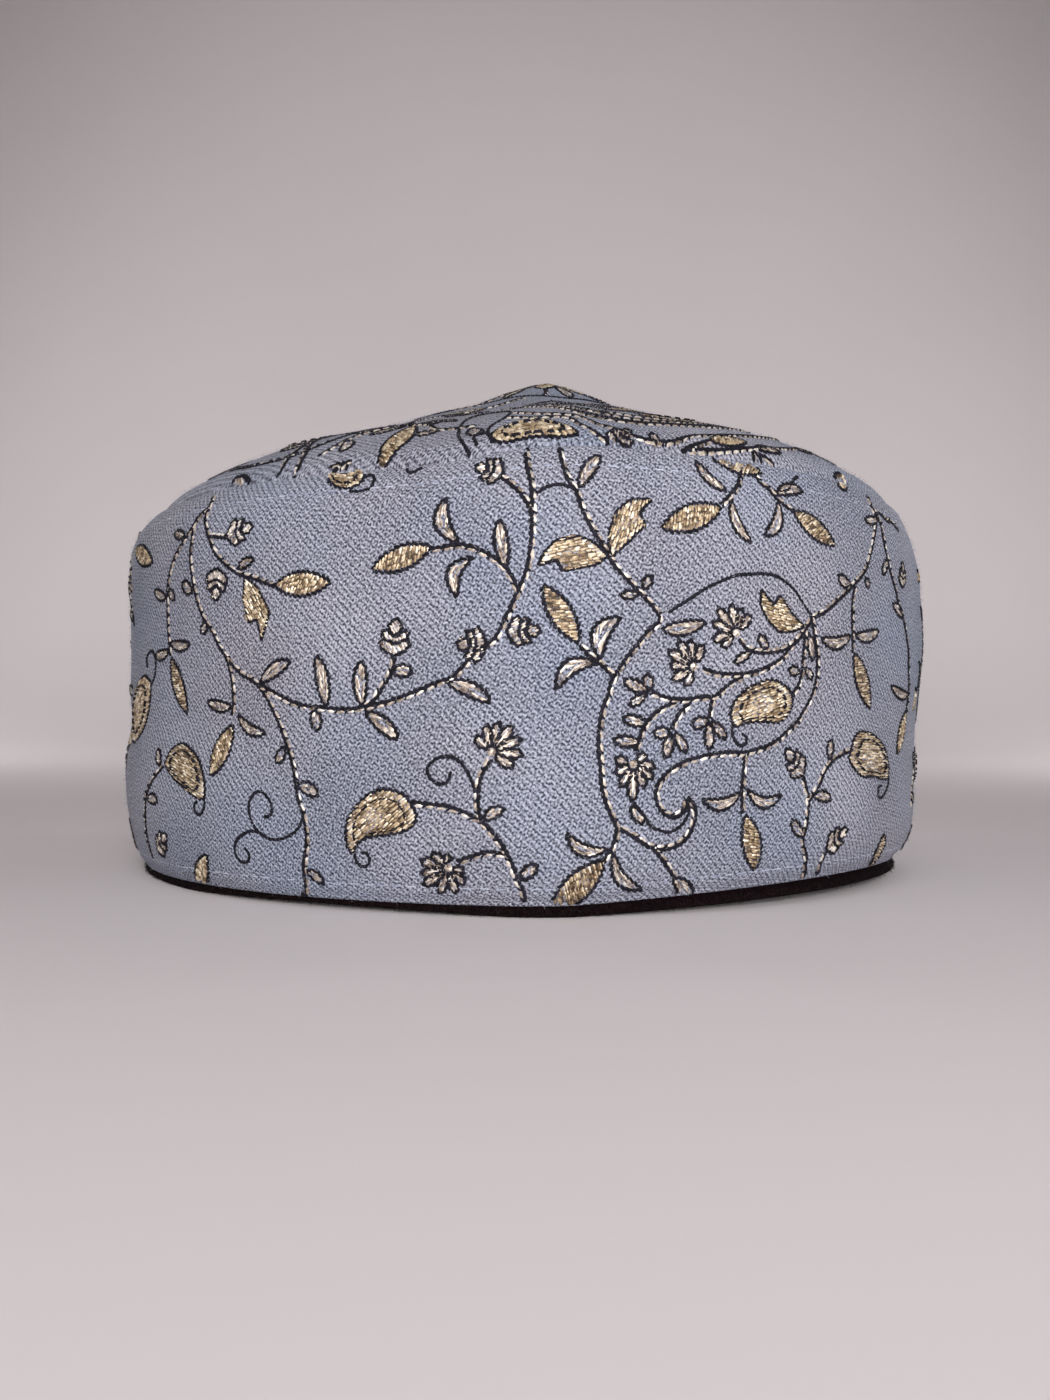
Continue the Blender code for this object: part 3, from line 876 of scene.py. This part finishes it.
class Needlework:
    """The stitches of one chart, by the thread that they are worked in."""

    def __init__(self, seed):
        self.rng = random.Random(seed)
        self.black, self.gold, self.pale = [], [], []

    def cord(self, path, width=0.64, stitch=0.95, slant=0.12):
        """Black cord in stem stitch: short stitches, each a little across the line and beside the last."""
        line = evenly(path, stitch)
        side = beside(line, 1.0) - line
        for k, (start, end) in enumerate(zip(line, line[1:])):
            start = start + side[k] * (slant + self.rng.uniform(-0.05, 0.05)) - (end - start) * 0.12
            end = end - side[k + 1] * (slant + self.rng.uniform(-0.05, 0.05)) + (end - start) * 0.12
            self.black.append((start, end, width * self.rng.uniform(0.85, 1.15), 0.32, self.rng.random()))

    def stem(self, path):
        """A pale thread with the black cord along its right side, and crossed by it now and then."""
        line = evenly(path, 0.5)
        self.cord(beside(line, -0.2), 0.72, 1.05, 0.18)
        pale = evenly(beside(line, 0.3), 1.9)
        side = beside(pale, 1.0) - pale
        for k, (start, end) in enumerate(zip(pale, pale[1:])):
            slant = side[k] * self.rng.uniform(0.02, 0.16)
            gap = (end - start) * self.rng.uniform(0.0, 0.3)
            width, tone = 0.52 * self.rng.uniform(0.7, 1.15), 0.35 + 0.65 * self.rng.random()
            self.pale.append((start - slant, end + slant - gap, width, 0.27, tone))
            if self.rng.random() < 0.75:
                low = end - side[k] * 0.4 - (end - start) * 0.35
                self.black.append((low, end + side[k] * 0.34, 0.36, 0.42, self.rng.random()))

    def vine(self, path):
        """A stem with an open leaf to either side of it in turn."""
        self.stem(path)
        line = evenly(path, 6.5)
        side = beside(line, 1.0) - line
        for k in range(1, len(line) - 1):
            turn = 1.0 if k % 2 else -1.0
            ahead = (line[k + 1] - line[k]) / np.linalg.norm(line[k + 1] - line[k])
            root = line[k] + side[k] * turn * 0.5
            self.open_leaf(root, root + (ahead * 0.75 + side[k] * turn * 0.66) * 6.0, 2.3, 0.5 * turn)

    def satin(self, thread, start, end, width, lift=0.26, bright=0.0):
        start, end = np.asarray(start, float), np.asarray(end, float)
        if np.linalg.norm(end - start) > 0.35:
            tone = min(1.0, 0.25 + 0.75 * self.rng.random() + bright)
            width, lift = width * self.rng.uniform(0.85, 1.15), lift * self.rng.uniform(0.8, 1.2)
            thread.append((start, end, width, lift, tone))

    def outline(self, *sides, slant=0.24):
        for side in sides:
            self.cord(side, 0.63, 1.1, slant)

    def filled_leaf(self, base, tip, width):
        """Short slanting stitches, packed over the whole leaf."""
        left, right, _ = leaf_form(base, tip, width, steps=17)
        slant = math.atan2(tip[1] - base[1], tip[0] - base[0]) + 1.05
        self.fill((*left, *right[-2:0:-1]), slant, longest=1.7, bright=-0.1)
        self.outline(left, right[::-1], slant=0.32)

    def open_leaf(self, base, tip, width, bend):
        """A few pale strokes run up an open leaf inside its outline."""
        left, right, midrib = leaf_form(base, tip, width, bend, 0.54, 9, 0.62)
        size = np.linalg.norm(midrib[-1] - midrib[0])
        share = np.linspace(0.0, 1.0, len(midrib))
        for side in (left, right):
            for _ in range(max(3, round(size / 0.62))):
                along = self.rng.uniform(0.04, 0.74)
                out = self.rng.uniform(0.0, 0.6)
                farther = min(0.96, along + self.rng.uniform(0.16, 0.3))
                ends = []
                for place, reach in ((along, out), (farther, min(0.72, out + 0.3))):
                    line = midrib + (side - midrib) * reach
                    ends.append(np.array([np.interp(place, share, line[:, axis]) for axis in (0, 1)]))
                self.satin(self.pale, *ends, 0.34, 0.2, bright=-0.12)
        self.outline(left, right)

    def fill(
        self, outline, grain, pitch=0.46, longest=2.1, inset=0.2, scatter=0.16, width=0.39, lift=0.36,
        pale=False, bright=0.0,
    ):
        """Long-and-short stitches along the grain inside an outline, and under the gold wide dark strokes of
        painted shade that show in the gaps between the stitches.
        """
        thread = self.pale if pale else self.gold
        turn = np.array(((math.cos(grain), math.sin(grain)), (-math.sin(grain), math.cos(grain))))
        edge = evenly((*outline, outline[0]), 0.4) @ turn.T
        level = edge[:, 1].min() + pitch * 0.6
        while level < edge[:, 1].max() - pitch * 0.3:
            over = (edge[:-1, 1] - level) * (edge[1:, 1] - level) < 0
            one, two = edge[:-1][over], edge[1:][over]
            part = (level - one[:, 1]) / (two[:, 1] - one[:, 1])
            cuts = np.sort(one[:, 0] + part * (two[:, 0] - one[:, 0]))
            for low, high in zip(cuts[::2], cuts[1::2]):
                low, high = low + inset, high - inset
                # Painted shade: a wide stroke of the darkest tone lies under each row of gold, so the gaps
                # between its stitches look shadowed.
                if not pale and high - low > 0.5:
                    ends = (np.array((low, level)) @ turn, np.array((high, level)) @ turn)
                    thread.append((*ends, 0.72, 0.1, 0.0))
                while high - low > 0.3:
                    size = min(high - low, longest * self.rng.uniform(0.55, 1.0))
                    if high - low - size < 0.5:
                        size = high - low
                    tilt = [level + self.rng.uniform(-scatter, scatter) for _ in range(2)]
                    ends = (np.array((low, tilt[0])) @ turn, np.array((low + size, tilt[1])) @ turn)
                    self.satin(thread, *ends, width, lift, bright)
                    low += size - 0.12
            level += pitch

    def bud(self, base, tip, width):
        """Three tiers: a wide cup, a pair of lobes in it, and a pointed petal."""
        base, tip = np.array(base, float), np.array(tip, float)
        axis = tip - base
        left = np.array((-axis[1], axis[0])) / np.linalg.norm(axis) * width / 2.0
        slant = math.atan2(axis[1], axis[0])
        for tier in BUD_TIERS:
            halves = []
            for side in (1.0, -1.0):
                halves.append([base + axis * along + left * side * out for along, out in tier])
            inside = (*halves[0], *halves[1][::-1])
            self.fill(inside, slant + 0.5, 0.5, 1.6, 0.15, 0.2, 0.36, 0.24, pale=True)
            self.outline(*halves)

    def daisy(self, middle, tips):
        middle = np.array(middle, float)
        for tip in np.array(tips, float):
            start = middle + (tip - middle) / np.linalg.norm(tip - middle) * 0.8
            self.open_leaf(start, tip, 1.75, 0.0)
            self.satin(self.pale, start, start + (tip - start) * 0.8, 0.3, 0.25, bright=0.1)
        for turn in np.linspace(0.0, math.pi, 5, endpoint=False):
            reach = np.array((math.cos(turn), math.sin(turn)))
            self.satin(self.pale, middle - reach * 0.8, middle + reach * 0.8, 0.5, 0.42)

    def paisley(self, outline, curl):
        """Gold along the paisley's length, cord round it and in its curl, and broken cord inside it."""
        points = np.array(outline, float)
        away = points - points.mean(axis=0)
        grain = math.atan2(*np.linalg.svd(away)[2][0][::-1])
        self.fill(outline, grain + 0.15)
        self.outline((*outline, outline[0]), slant=0.28)
        self.cord(curl)
        inner = points.mean(axis=0) + away * 0.74
        inner = evenly((*inner, inner[0]), 1.9)
        for start, end in zip(inner, inner[1:]):
            end = end - (end - start) * self.rng.uniform(-0.1, 0.2)
            self.black.append((start, end, 0.4, 0.7, self.rng.random()))


work = Needlework(3)
for leaf in FILLED_LEAVES:
    work.filled_leaf(*leaf)
for leaf in OPEN_LEAVES:
    work.open_leaf(*leaf)
for bud in BUDS:
    work.bud(*bud)
for daisy in DAISIES:
    work.daisy(*daisy)
for outline in FORKED_LEAVES:
    axis = np.mean(outline, axis=0) - outline[0]
    work.fill(outline, math.atan2(axis[1], axis[0]) + 0.2, longest=1.8)
    for corners in zip(outline, (*outline[1:], outline[0])):
        work.cord(corners)
for outline, curl in PAISLEYS:
    work.paisley(outline, curl)
for path in STEMS:
    work.stem(path)
for path in CORDS:
    work.cord(path)


WALL_REPEATS = (  # how far across the chart is moved, and the first and last place of it that is kept
    (0.0, -106.0, 106.0),
    (192.0, -88.0, 97.0),
    (-195.0, -94.0, 90.0),
)


def round_the_wall(stitches):
    """The chart at the front and on either side of the back, cut off at the crown's seam and at the hem."""
    kept = []
    for shift, first, last in WALL_REPEATS:
        for start, end, width, lift, tone in stitches:
            if min(start[0], end[0]) < first or max(start[0], end[0]) > last:
                continue
            azimuth = (start[0] + shift) / CHART_RADIUS
            low, high = hem_height(azimuth) / MM + 0.2, seam_height(azimuth) / MM - 0.1
            if low < min(start[1], end[1]) and max(start[1], end[1]) < high:
                kept.append(((start[0] + shift, start[1]), (end[0] + shift, end[1]), width, lift, tone))
    return kept


black_cord = Finish("black_cord", Roughness=0.7, Specular_IOR_Level=0.2)
thread = black_cord.node("ShaderNodeUVMap", {"uv_map": "thread"})
parts = black_cord.node("ShaderNodeSeparateXYZ", None, {0: thread})
twist = (parts.output("Y") * 3.2 + parts.output("X")).ripple()
tone = twist * 0.6 + parts.output("X") * 0.4
black_cord.paint(
    Base_Color=black_cord.colours(tone, (0.1, (0.0015, 0.0012, 0.003)), (0.95, (0.014, 0.012, 0.022))),
    Normal=black_cord.relief(twist, 0.00008),
)


def metal_thread(name, *stops):
    """A flat metal strip wound round a silk core, dull between its glints, which are painted highlights in
    its colour.
    """
    wound = Finish(name, Roughness=0.42, Metallic=0.35, Specular_IOR_Level=0.6, Anisotropic=0.4)
    thread = wound.node("ShaderNodeUVMap", {"uv_map": "thread"})
    parts = wound.node("ShaderNodeSeparateXYZ", None, {0: thread})
    twist = (parts.output("Y") * 2.6 + parts.output("X") * 5.0).ripple()
    # Painted highlights: fine noise brightens specks of the colour as glints, and the twist paints light and
    # dark bands along each strand, over each strand's own tone.
    painted_glint = wound.noise(wound.node("ShaderNodeTexCoord").output("Object"), 1400.0, 2.0)
    tone_and_painted_glint = parts.output("X") * 0.70 + twist * 0.18 + (painted_glint - 0.5) * 1.1 + 0.06
    normal = wound.relief(twist, 0.00008)
    wound.paint(Base_Color=wound.colours(tone_and_painted_glint, *stops), Roughness=0.55 - tone_and_painted_glint * 0.2, Normal=normal)
    return wound


# In both ramps the darkest stop is painted shade between the strands, and the brightest stop is a painted
# glint.
gold_thread = metal_thread(
    "gold_thread",
    (0.12, (0.040, 0.024, 0.013)),
    (0.36, (0.22, 0.145, 0.080)),
    (0.66, (0.60, 0.470, 0.310)),
    (0.95, (1.0, 0.92, 0.78)),
)
pale_thread = metal_thread(
    "pale_thread",
    (0.10, (0.050, 0.032, 0.026)),
    (0.36, (0.22, 0.165, 0.130)),
    (0.66, (0.58, 0.490, 0.410)),
    (0.95, (1.0, 0.94, 0.86)),
)

THREADS = (
    ("black_cord", "black", black_cord),
    ("gold_fillings", "gold", gold_thread),
    ("pale_threads", "pale", pale_thread),
)
for name, kind, finish in THREADS:
    sew("wall_" + name, round_the_wall(getattr(work, kind)), on_wall, finish)


# The embroidery of the crown. The same vines and paisleys run out from a rosette of leaves round the peak,
# three times round the crown. Places are millimetres across and back from the crown's middle, the front
# being at -90.
CROWN_FILLED_LEAVES = (
    ((-22.3, -70), (-25, -86), 4.5),
    ((32.5, -79.5), (40, -72.5), 4),
    ((60.8, -69), (61.5, -61), 3.5),
    ((14, -58), (22, -48), 4.5),
    ((-12, -34), (-20, -46), 4),
    ((-58, -40), (-66, -50), 4.2),
    ((6, -38), (14, -40), 4),
    ((-28, -30), (-20, -22), 4),
)
CROWN_OPEN_LEAVES = (
    ((-22.3, -68.5), (-14.3, -71), 2.2, 2.2),
    ((-22.6, -68.5), (-31.3, -64.4), 2.2, -2.4),
    ((24.8, -87), (21.2, -83.2), 2.2, 0.5),
    ((41.5, -75), (47, -71), 2.4, 0.5),
    ((42, -76), (48.2, -76.6), 2.4, -0.5),
    ((41, -76), (45, -80.5), 2.2, -0.6),
    ((48.8, -76), (51.5, -73.2), 1.6, 0),
    ((-50, -74.5), (-55.5, -66.5), 2.6, 0.7),
    ((-46, -76), (-42.5, -83), 2.4, 0.5),
    ((-35, -80.5), (-31, -84.5), 2.4, 0.3),
    ((-36, -81.5), (-38.5, -85), 2, 0),
    ((-8, -84), (-10.8, -79.5), 2.4, 0.4),
    ((30, -60), (36, -56), 2.4, 0.5),
    ((30, -60), (27, -67), 2.4, 0.5),
    ((8, -70), (14, -73), 2.4, -0.4),
    ((2, -52), (-3, -46), 2.4, -0.4),
    ((40, -45), (34, -42), 2.4, 0.4),
    ((-40.5, -56), (-34, -54), 2.2, 0.5),
    ((-42.8, -64), (-49.5, -60), 2.2, -0.5),
    ((58, -50), (64, -46), 2.2, 0.5),
    ((56, -54), (52, -60), 2.2, 0.5),
)
CROWN_BUDS = (
    ((14.5, -89), (17.5, -84), 4.6),
    ((-30, -45), (-36, -42), 5),
    ((52, -40), (57, -36), 5),
)
CROWN_DAISIES = (
    (
        (30, -50),
        (
            (34.5, -50), (33.5, -46.5), (30.5, -45.5), (27, -46), (25.6, -49.5), (26.5, -53), (30, -54.5),
            (33.5, -53.5),
        ),
    ),
    (
        (-14, -56),
        (
            (-9.5, -56), (-10.5, -52.5), (-13.5, -51.5), (-17, -52), (-18.4, -55.5), (-17.5, -59),
            (-14, -60.5), (-10.5, -59.5),
        ),
    ),
)
CROWN_PAISLEYS = (
    (
        (
            (8.6, -87.9), (5.6, -88.8), (2, -88.7), (-1.2, -88.8), (-4.1, -88.6), (-6.2, -87.2),
            (-6.4, -84.9), (-4.6, -82.7), (-1.1, -81.7), (2.4, -82.4), (5.2, -84.6),
        ),
        ((-6, -88), (-7.4, -84.5), (-8.6, -82.5), (-9.6, -84.5), (-8.6, -87.5)),
    ),
    (
        (
            (20, -66), (23, -68.5), (27, -69), (30.5, -67), (33, -63.5), (29, -64.5), (25, -64.5),
            (21.5, -64),
        ),
        ((33, -63.5), (35.5, -63), (36, -65.5), (34, -66.5)),
    ),
    (
        ((-52, -50), (-49, -46), (-44, -45), (-40, -47.5), (-42.5, -50.5), (-46.5, -52.5), (-50, -53)),
        ((-40, -47.5), (-37.5, -48.5), (-37.5, -51.5), (-40, -51.5)),
    ),
)
CROWN_STEMS = (
    (
        (-7, -51), (-2, -60), (2, -67.5), (6, -74.5), (10, -78.8), (16.6, -80), (24.2, -76.5),
        (32.5, -69.5), (40, -60), (45, -49), (43, -38), (34, -29), (20, -26), (6, -32), (-3, -42),
        (-7, -51),
    ),
    (
        (-5, -76.9), (0.4, -80.6), (6.5, -81.2), (9.2, -85.4), (13.7, -88), (19.2, -88.8), (24.8, -87),
        (28, -83.8), (32.5, -79.5),
    ),
    (
        (-4, -73.5), (1, -78), (8, -79.8), (12, -83.5), (17, -85.4), (24, -84.4), (30, -79), (38, -70.5),
        (46, -60), (51, -47), (52, -40),
    ),
    ((28, -83.8), (34, -80.8), (41, -75.4), (48, -67), (55, -55), (60, -42), (61, -30)),
    ((-22.3, -70), (-24.5, -60), (-23, -50), (-17, -40), (-10, -32), (-4, -24)),
    ((-36, -47), (-40, -54), (-42.6, -64), (-41.6, -73), (-40.6, -80.2), (-35.6, -81.6), (-31, -81.4)),
    ((-40, -52), (-43, -60), (-45, -68), (-46, -75.6), (-50, -75), (-54, -71)),
    ((-58, -40), (-52, -36), (-44, -34), (-36, -38), (-30, -45)),
    ((14, -58), (10, -52), (4, -47), (-2, -42)),
    (
        (-4, -50), (2, -58), (7, -68), (12, -75), (18, -76.5), (25, -73), (33, -64), (41, -52), (38, -42),
        (30, -34),
    ),
    ((-1, -47), (6, -58), (11, -68), (16, -73), (22, -72), (30, -63), (37, -51)),
    ((-30, -60), (-36, -66), (-44, -70), (-52, -66), (-60, -56)),
)
CROWN_VINES = (
    ((-14, -24), (-24, -27), (-34, -25), (-44, -28), (-53, -34), (-62, -36)),
    ((22, -22), (32, -21), (42, -24), (52, -28), (60, -34), (66, -44)),
    ((2, -30), (10, -38), (12, -48), (19, -56), (26, -59)),
    ((-10, -78), (-17, -76), (-20, -70), (-28, -66), (-34, -70), (-38, -76)),
)
CROWN_CORDS = (
    (
        (-7.6, -91), (-9.5, -88.8), (-11.8, -84.6), (-12.8, -80.4), (-12.9, -75), (-12, -70), (-10, -66),
        (-6.5, -66.5), (-4.5, -71), (-5, -76.9), (-7.4, -81.6), (-6.8, -86),
    ),
    ((-20.6, -89.3), (-19, -90), (-17, -89.4)),
    ((-5, -56), (1, -65), (6, -73), (12, -77.6), (18, -78.4), (25, -75), (33, -66.5), (40, -56)),
)

work = Needlework(11)
for leaf in CROWN_FILLED_LEAVES:
    work.filled_leaf(*leaf)
for leaf in CROWN_OPEN_LEAVES:
    work.open_leaf(*leaf)
for bud in CROWN_BUDS:
    work.bud(*bud)
for daisy in CROWN_DAISIES:
    work.daisy(*daisy)
for outline, curl in CROWN_PAISLEYS:
    work.paisley(outline, curl)
for path in CROWN_STEMS:
    work.stem(path[::-1])
for path in CROWN_VINES:
    work.vine(path)
for path in CROWN_CORDS:
    work.cord(path)


def round_the_crown(stitches, times):
    """The chart that many times round the crown, without what runs past its edge."""
    kept = []
    for k in range(times):
        turn = k * math.tau / times
        across, back = math.cos(turn), math.sin(turn)
        for start, end, width, lift, tone in stitches:
            start, end = ((x * across - y * back, x * back + y * across) for x, y in (start, end))
            azimuth = math.atan2(start[0], -start[1])
            if max(math.hypot(*start), math.hypot(*end)) < float(wall_radius(1.0, azimuth)) / MM * 0.985:
                kept.append((start, end, width, lift, tone))
    return kept


rosette = Needlework(5)
rosette.filled_leaf((0.0, -3.0), (0.0, -14.0), 5.0)
rosette.open_leaf((2.6, -10.0), (6.6, -20.0), 3.0, 0.4)
rosette.cord([(22.0 * math.sin(a), -22.0 * math.cos(a)) for a in np.linspace(0.0, math.tau / 8.0, 7)])
rosette.stem(((0.0, -14.0), (0.6, -18.0), (0.0, -22.0)))
for name, kind, finish in THREADS:
    stitches = round_the_crown(getattr(work, kind), 3) + round_the_crown(getattr(rosette, kind), 8)
    sew("crown_" + name, stitches, on_crown, finish)


# The nap. Worn wool shows its fibres: fine pale hairs stand off the twill all over, and coarser dark ones
# off the bare edge of the felt.
def hairs(name, roots, lay, length, width, finish):
    """One mesh of bent hairs, each of a few thin faces, from roots in the millimetres of a chart."""
    draw = np.random.default_rng(17)
    turn = draw.uniform(0.0, math.tau, len(roots))
    size = length * draw.uniform(0.4, 1.0, len(roots))
    along = np.stack([np.cos(turn), np.sin(turn)], -1) * size[:, None]
    side = np.stack([-np.sin(turn), np.cos(turn)], -1) * width / 2.0
    rise = length * draw.uniform(0.05, 0.75, len(roots))
    bend = draw.uniform(-0.5, 0.5, (len(roots), 1)) * along[:, ::-1] * (1.0, -1.0)
    middle = roots + along * 0.5
    steps = (
        (roots + side, 0.0),
        (roots - side, 0.0),
        (middle - side, 0.6),
        (middle + side, 0.6),
        (roots + along + bend, 1.0),
    )
    points = np.stack([lay(place[:, 0], place[:, 1], rise * up) for place, up in steps], 1)
    first = np.arange(len(roots))[:, None] * len(steps)
    faces = (first + (0, 1, 2, 3)).tolist() + (first + (3, 2, 4)).tolist()
    mesh = bpy.data.meshes.new(name)
    mesh.from_pydata(points.reshape(-1, 3).tolist(), [], faces)
    mesh.shade_smooth()
    piece = piece_of(name, mesh)
    piece.data.materials.append(finish.material)


def hair_finish(name, dark, light):
    hair = Finish(name, Roughness=0.8, Specular_IOR_Level=0.2)
    patchy = hair.noise(hair.node("ShaderNodeTexCoord").output("Object"), 900.0, 1.0)
    hair.paint(Base_Color=hair.colours(patchy, (0.3, dark), (0.7, light)))
    return hair


wool_hair = hair_finish("wool_hair", (0.16, 0.16, 0.20), (0.62, 0.61, 0.68))
felt_hair = hair_finish("felt_hair", (0.001, 0.001, 0.001), (0.018, 0.008, 0.008))
WALL_HAIRS, CROWN_HAIRS, FELT_HAIRS = 38000, 22000, 9000
CROWN_REACHED = 88.0  # how far out from the crown's middle, in millimetres, as the hairs' sizes are
NAP_LENGTH, NAP_WIDTH = 1.3, 0.035
FUZZ_LENGTH, FUZZ_WIDTH = 0.9, 0.045
scatter = np.random.default_rng(23)
across = scatter.uniform(-math.pi, math.pi, WALL_HAIRS)
low, high = hem_height(across), seam_height(across)
up = low + scatter.uniform(0.01, 0.99, WALL_HAIRS) * (high - low)
roots = np.stack([across * CHART_RADIUS, up / MM], -1)
hairs("wall_nap", roots, on_wall, NAP_LENGTH, NAP_WIDTH, wool_hair)
turn = scatter.uniform(-math.pi, math.pi, CROWN_HAIRS)
reach = np.sqrt(scatter.uniform(0.001, 0.95, CROWN_HAIRS)) * CROWN_REACHED
roots = np.stack([reach * np.sin(turn), -reach * np.cos(turn)], -1)
hairs("crown_nap", roots, on_crown, NAP_LENGTH, NAP_WIDTH, wool_hair)


def on_felt(across, up, lift):
    """Points on the felt's bare edge, round it and up from its foot, moved out and a little down by lift."""
    azimuth = across / CHART_RADIUS
    out = wall_radius(0.0, azimuth) - BELOW_HEM + lift * MM
    height = np.maximum(band_foot(azimuth) + up * MM - 0.4 * lift * MM, 0.0001)
    return np.stack([out * np.sin(azimuth), -out * np.cos(azimuth), height], -1)


across = scatter.uniform(-math.pi, math.pi, FELT_HAIRS) * CHART_RADIUS
roots = np.stack([across, scatter.uniform(0.25, 1.8, FELT_HAIRS)], -1)
hairs("felt_fuzz", roots, on_felt, FUZZ_LENGTH, FUZZ_WIDTH, felt_hair)


# The studio. A wide sheet of pale pinkish-grey paper lies under the cap and is swept up behind it, and soft
# round lamps out of the camera's sight light it from the front, and the paper on its own.
SWEEP_WIDTH = 3.6
SWEEP = (  # back, up
    (-1.7, 0.0),
    (-0.3, 0.0),
    (0.8, 0.0),
    (1.1, 0.03),
    (1.3, 0.12),
    (1.42, 0.3),
    (1.48, 0.6),
    (1.5, 1.2),
    (1.5, 3.5),
)
mesh = bpy.data.meshes.new("sweep")
mesh.from_pydata(
    [(side * SWEEP_WIDTH / 2.0, back, up) for back, up in SWEEP for side in (-1.0, 1.0)],
    [],
    [(2 * k, 2 * k + 1, 2 * k + 3, 2 * k + 2) for k in range(len(SWEEP) - 1)],
)
mesh.shade_smooth()
sweep = bpy.data.objects.new("sweep", mesh)
bpy.context.scene.collection.objects.link(sweep)
smooth = sweep.modifiers.new("smooth", "SUBSURF")
smooth.levels = smooth.render_levels = 3
paper = Finish("paper", Roughness=0.9, Specular_IOR_Level=0.1)
clouds = paper.noise(paper.node("ShaderNodeTexCoord").output("Object"), 3.0, 2.0)
paper.paint(Base_Color=paper.colours(clouds, (0.3, (0.82, 0.755, 0.765)), (0.7, (0.84, 0.775, 0.785))))
mesh.materials.append(paper.material)


def lamp(name, place, target, size, watts, colour=(1.0, 0.99, 0.99)):
    data = bpy.data.lights.new(name, "AREA")
    data.shape, data.size, data.energy, data.color = "DISK", size, watts, colour
    light = bpy.data.objects.new(name, data)
    bpy.context.scene.collection.objects.link(light)
    light.location = place
    light.visible_camera = False
    light.rotation_euler = (Vector(target) - Vector(place)).to_track_quat("-Z", "Y").to_euler()
    return light


lamp("key", (0.07, -0.74, 0.18), (0.0, 0.0, 0.05), 0.30, 5.8, (1.0, 0.99, 0.98))
lamp("right", (0.9, -0.5, 0.35), (0.0, 0.0, 0.05), 0.4, 0.35, (0.60, 0.80, 1.0))
lamp("floor", (0.0, -0.75, 1.1), (0.0, -0.62, 0.0), 0.8, 2.1)
for side in (-1.0, 1.0):
    lamp("backdrop", (side * 0.4, 0.65, 1.3), (side * 0.4, 1.5, 0.3), 0.8, 1.1)
    lamp("horizon", (side * 0.9, 0.5, 0.4), (side * 0.1, 1.45, 0.1), 0.5, 3.1)

# Two more lamps light only the cap's back and sides.
cap = bpy.data.collections.new("cap")
for piece in bpy.data.objects:
    if piece.type == "MESH" and piece != sweep:
        cap.objects.link(piece)
for side in (-1.0, 1.0):
    rear = lamp("rear", (side * 0.38, 0.82, 0.12), (0.0, 0.0, 0.05), 0.4, 5.0)
    rear.light_linking.receiver_collection = cap

# The world is dim, so that the lamps shape the cap, and looks as pale as the paper past the paper's edges.
world = bpy.data.worlds.new("studio")
world.use_nodes = True
nodes, links = world.node_tree.nodes, world.node_tree.links
dim = nodes["Background"]
dim.inputs[0].default_value, dim.inputs[1].default_value = (0.90, 0.88, 0.88, 1.0), 0.055
seen, rays, either = (nodes.new("ShaderNode" + kind) for kind in ("Background", "LightPath", "MixShader"))
seen.inputs[0].default_value = (0.52, 0.465, 0.475, 1.0)
links.new(rays.outputs["Is Camera Ray"], either.inputs[0])
links.new(dim.outputs[0], either.inputs[1])
links.new(seen.outputs[0], either.inputs[2])
links.new(either.outputs[0], nodes["World Output"].inputs[0])
bpy.context.scene.world = world
bpy.context.scene.view_settings.view_transform = "Standard"
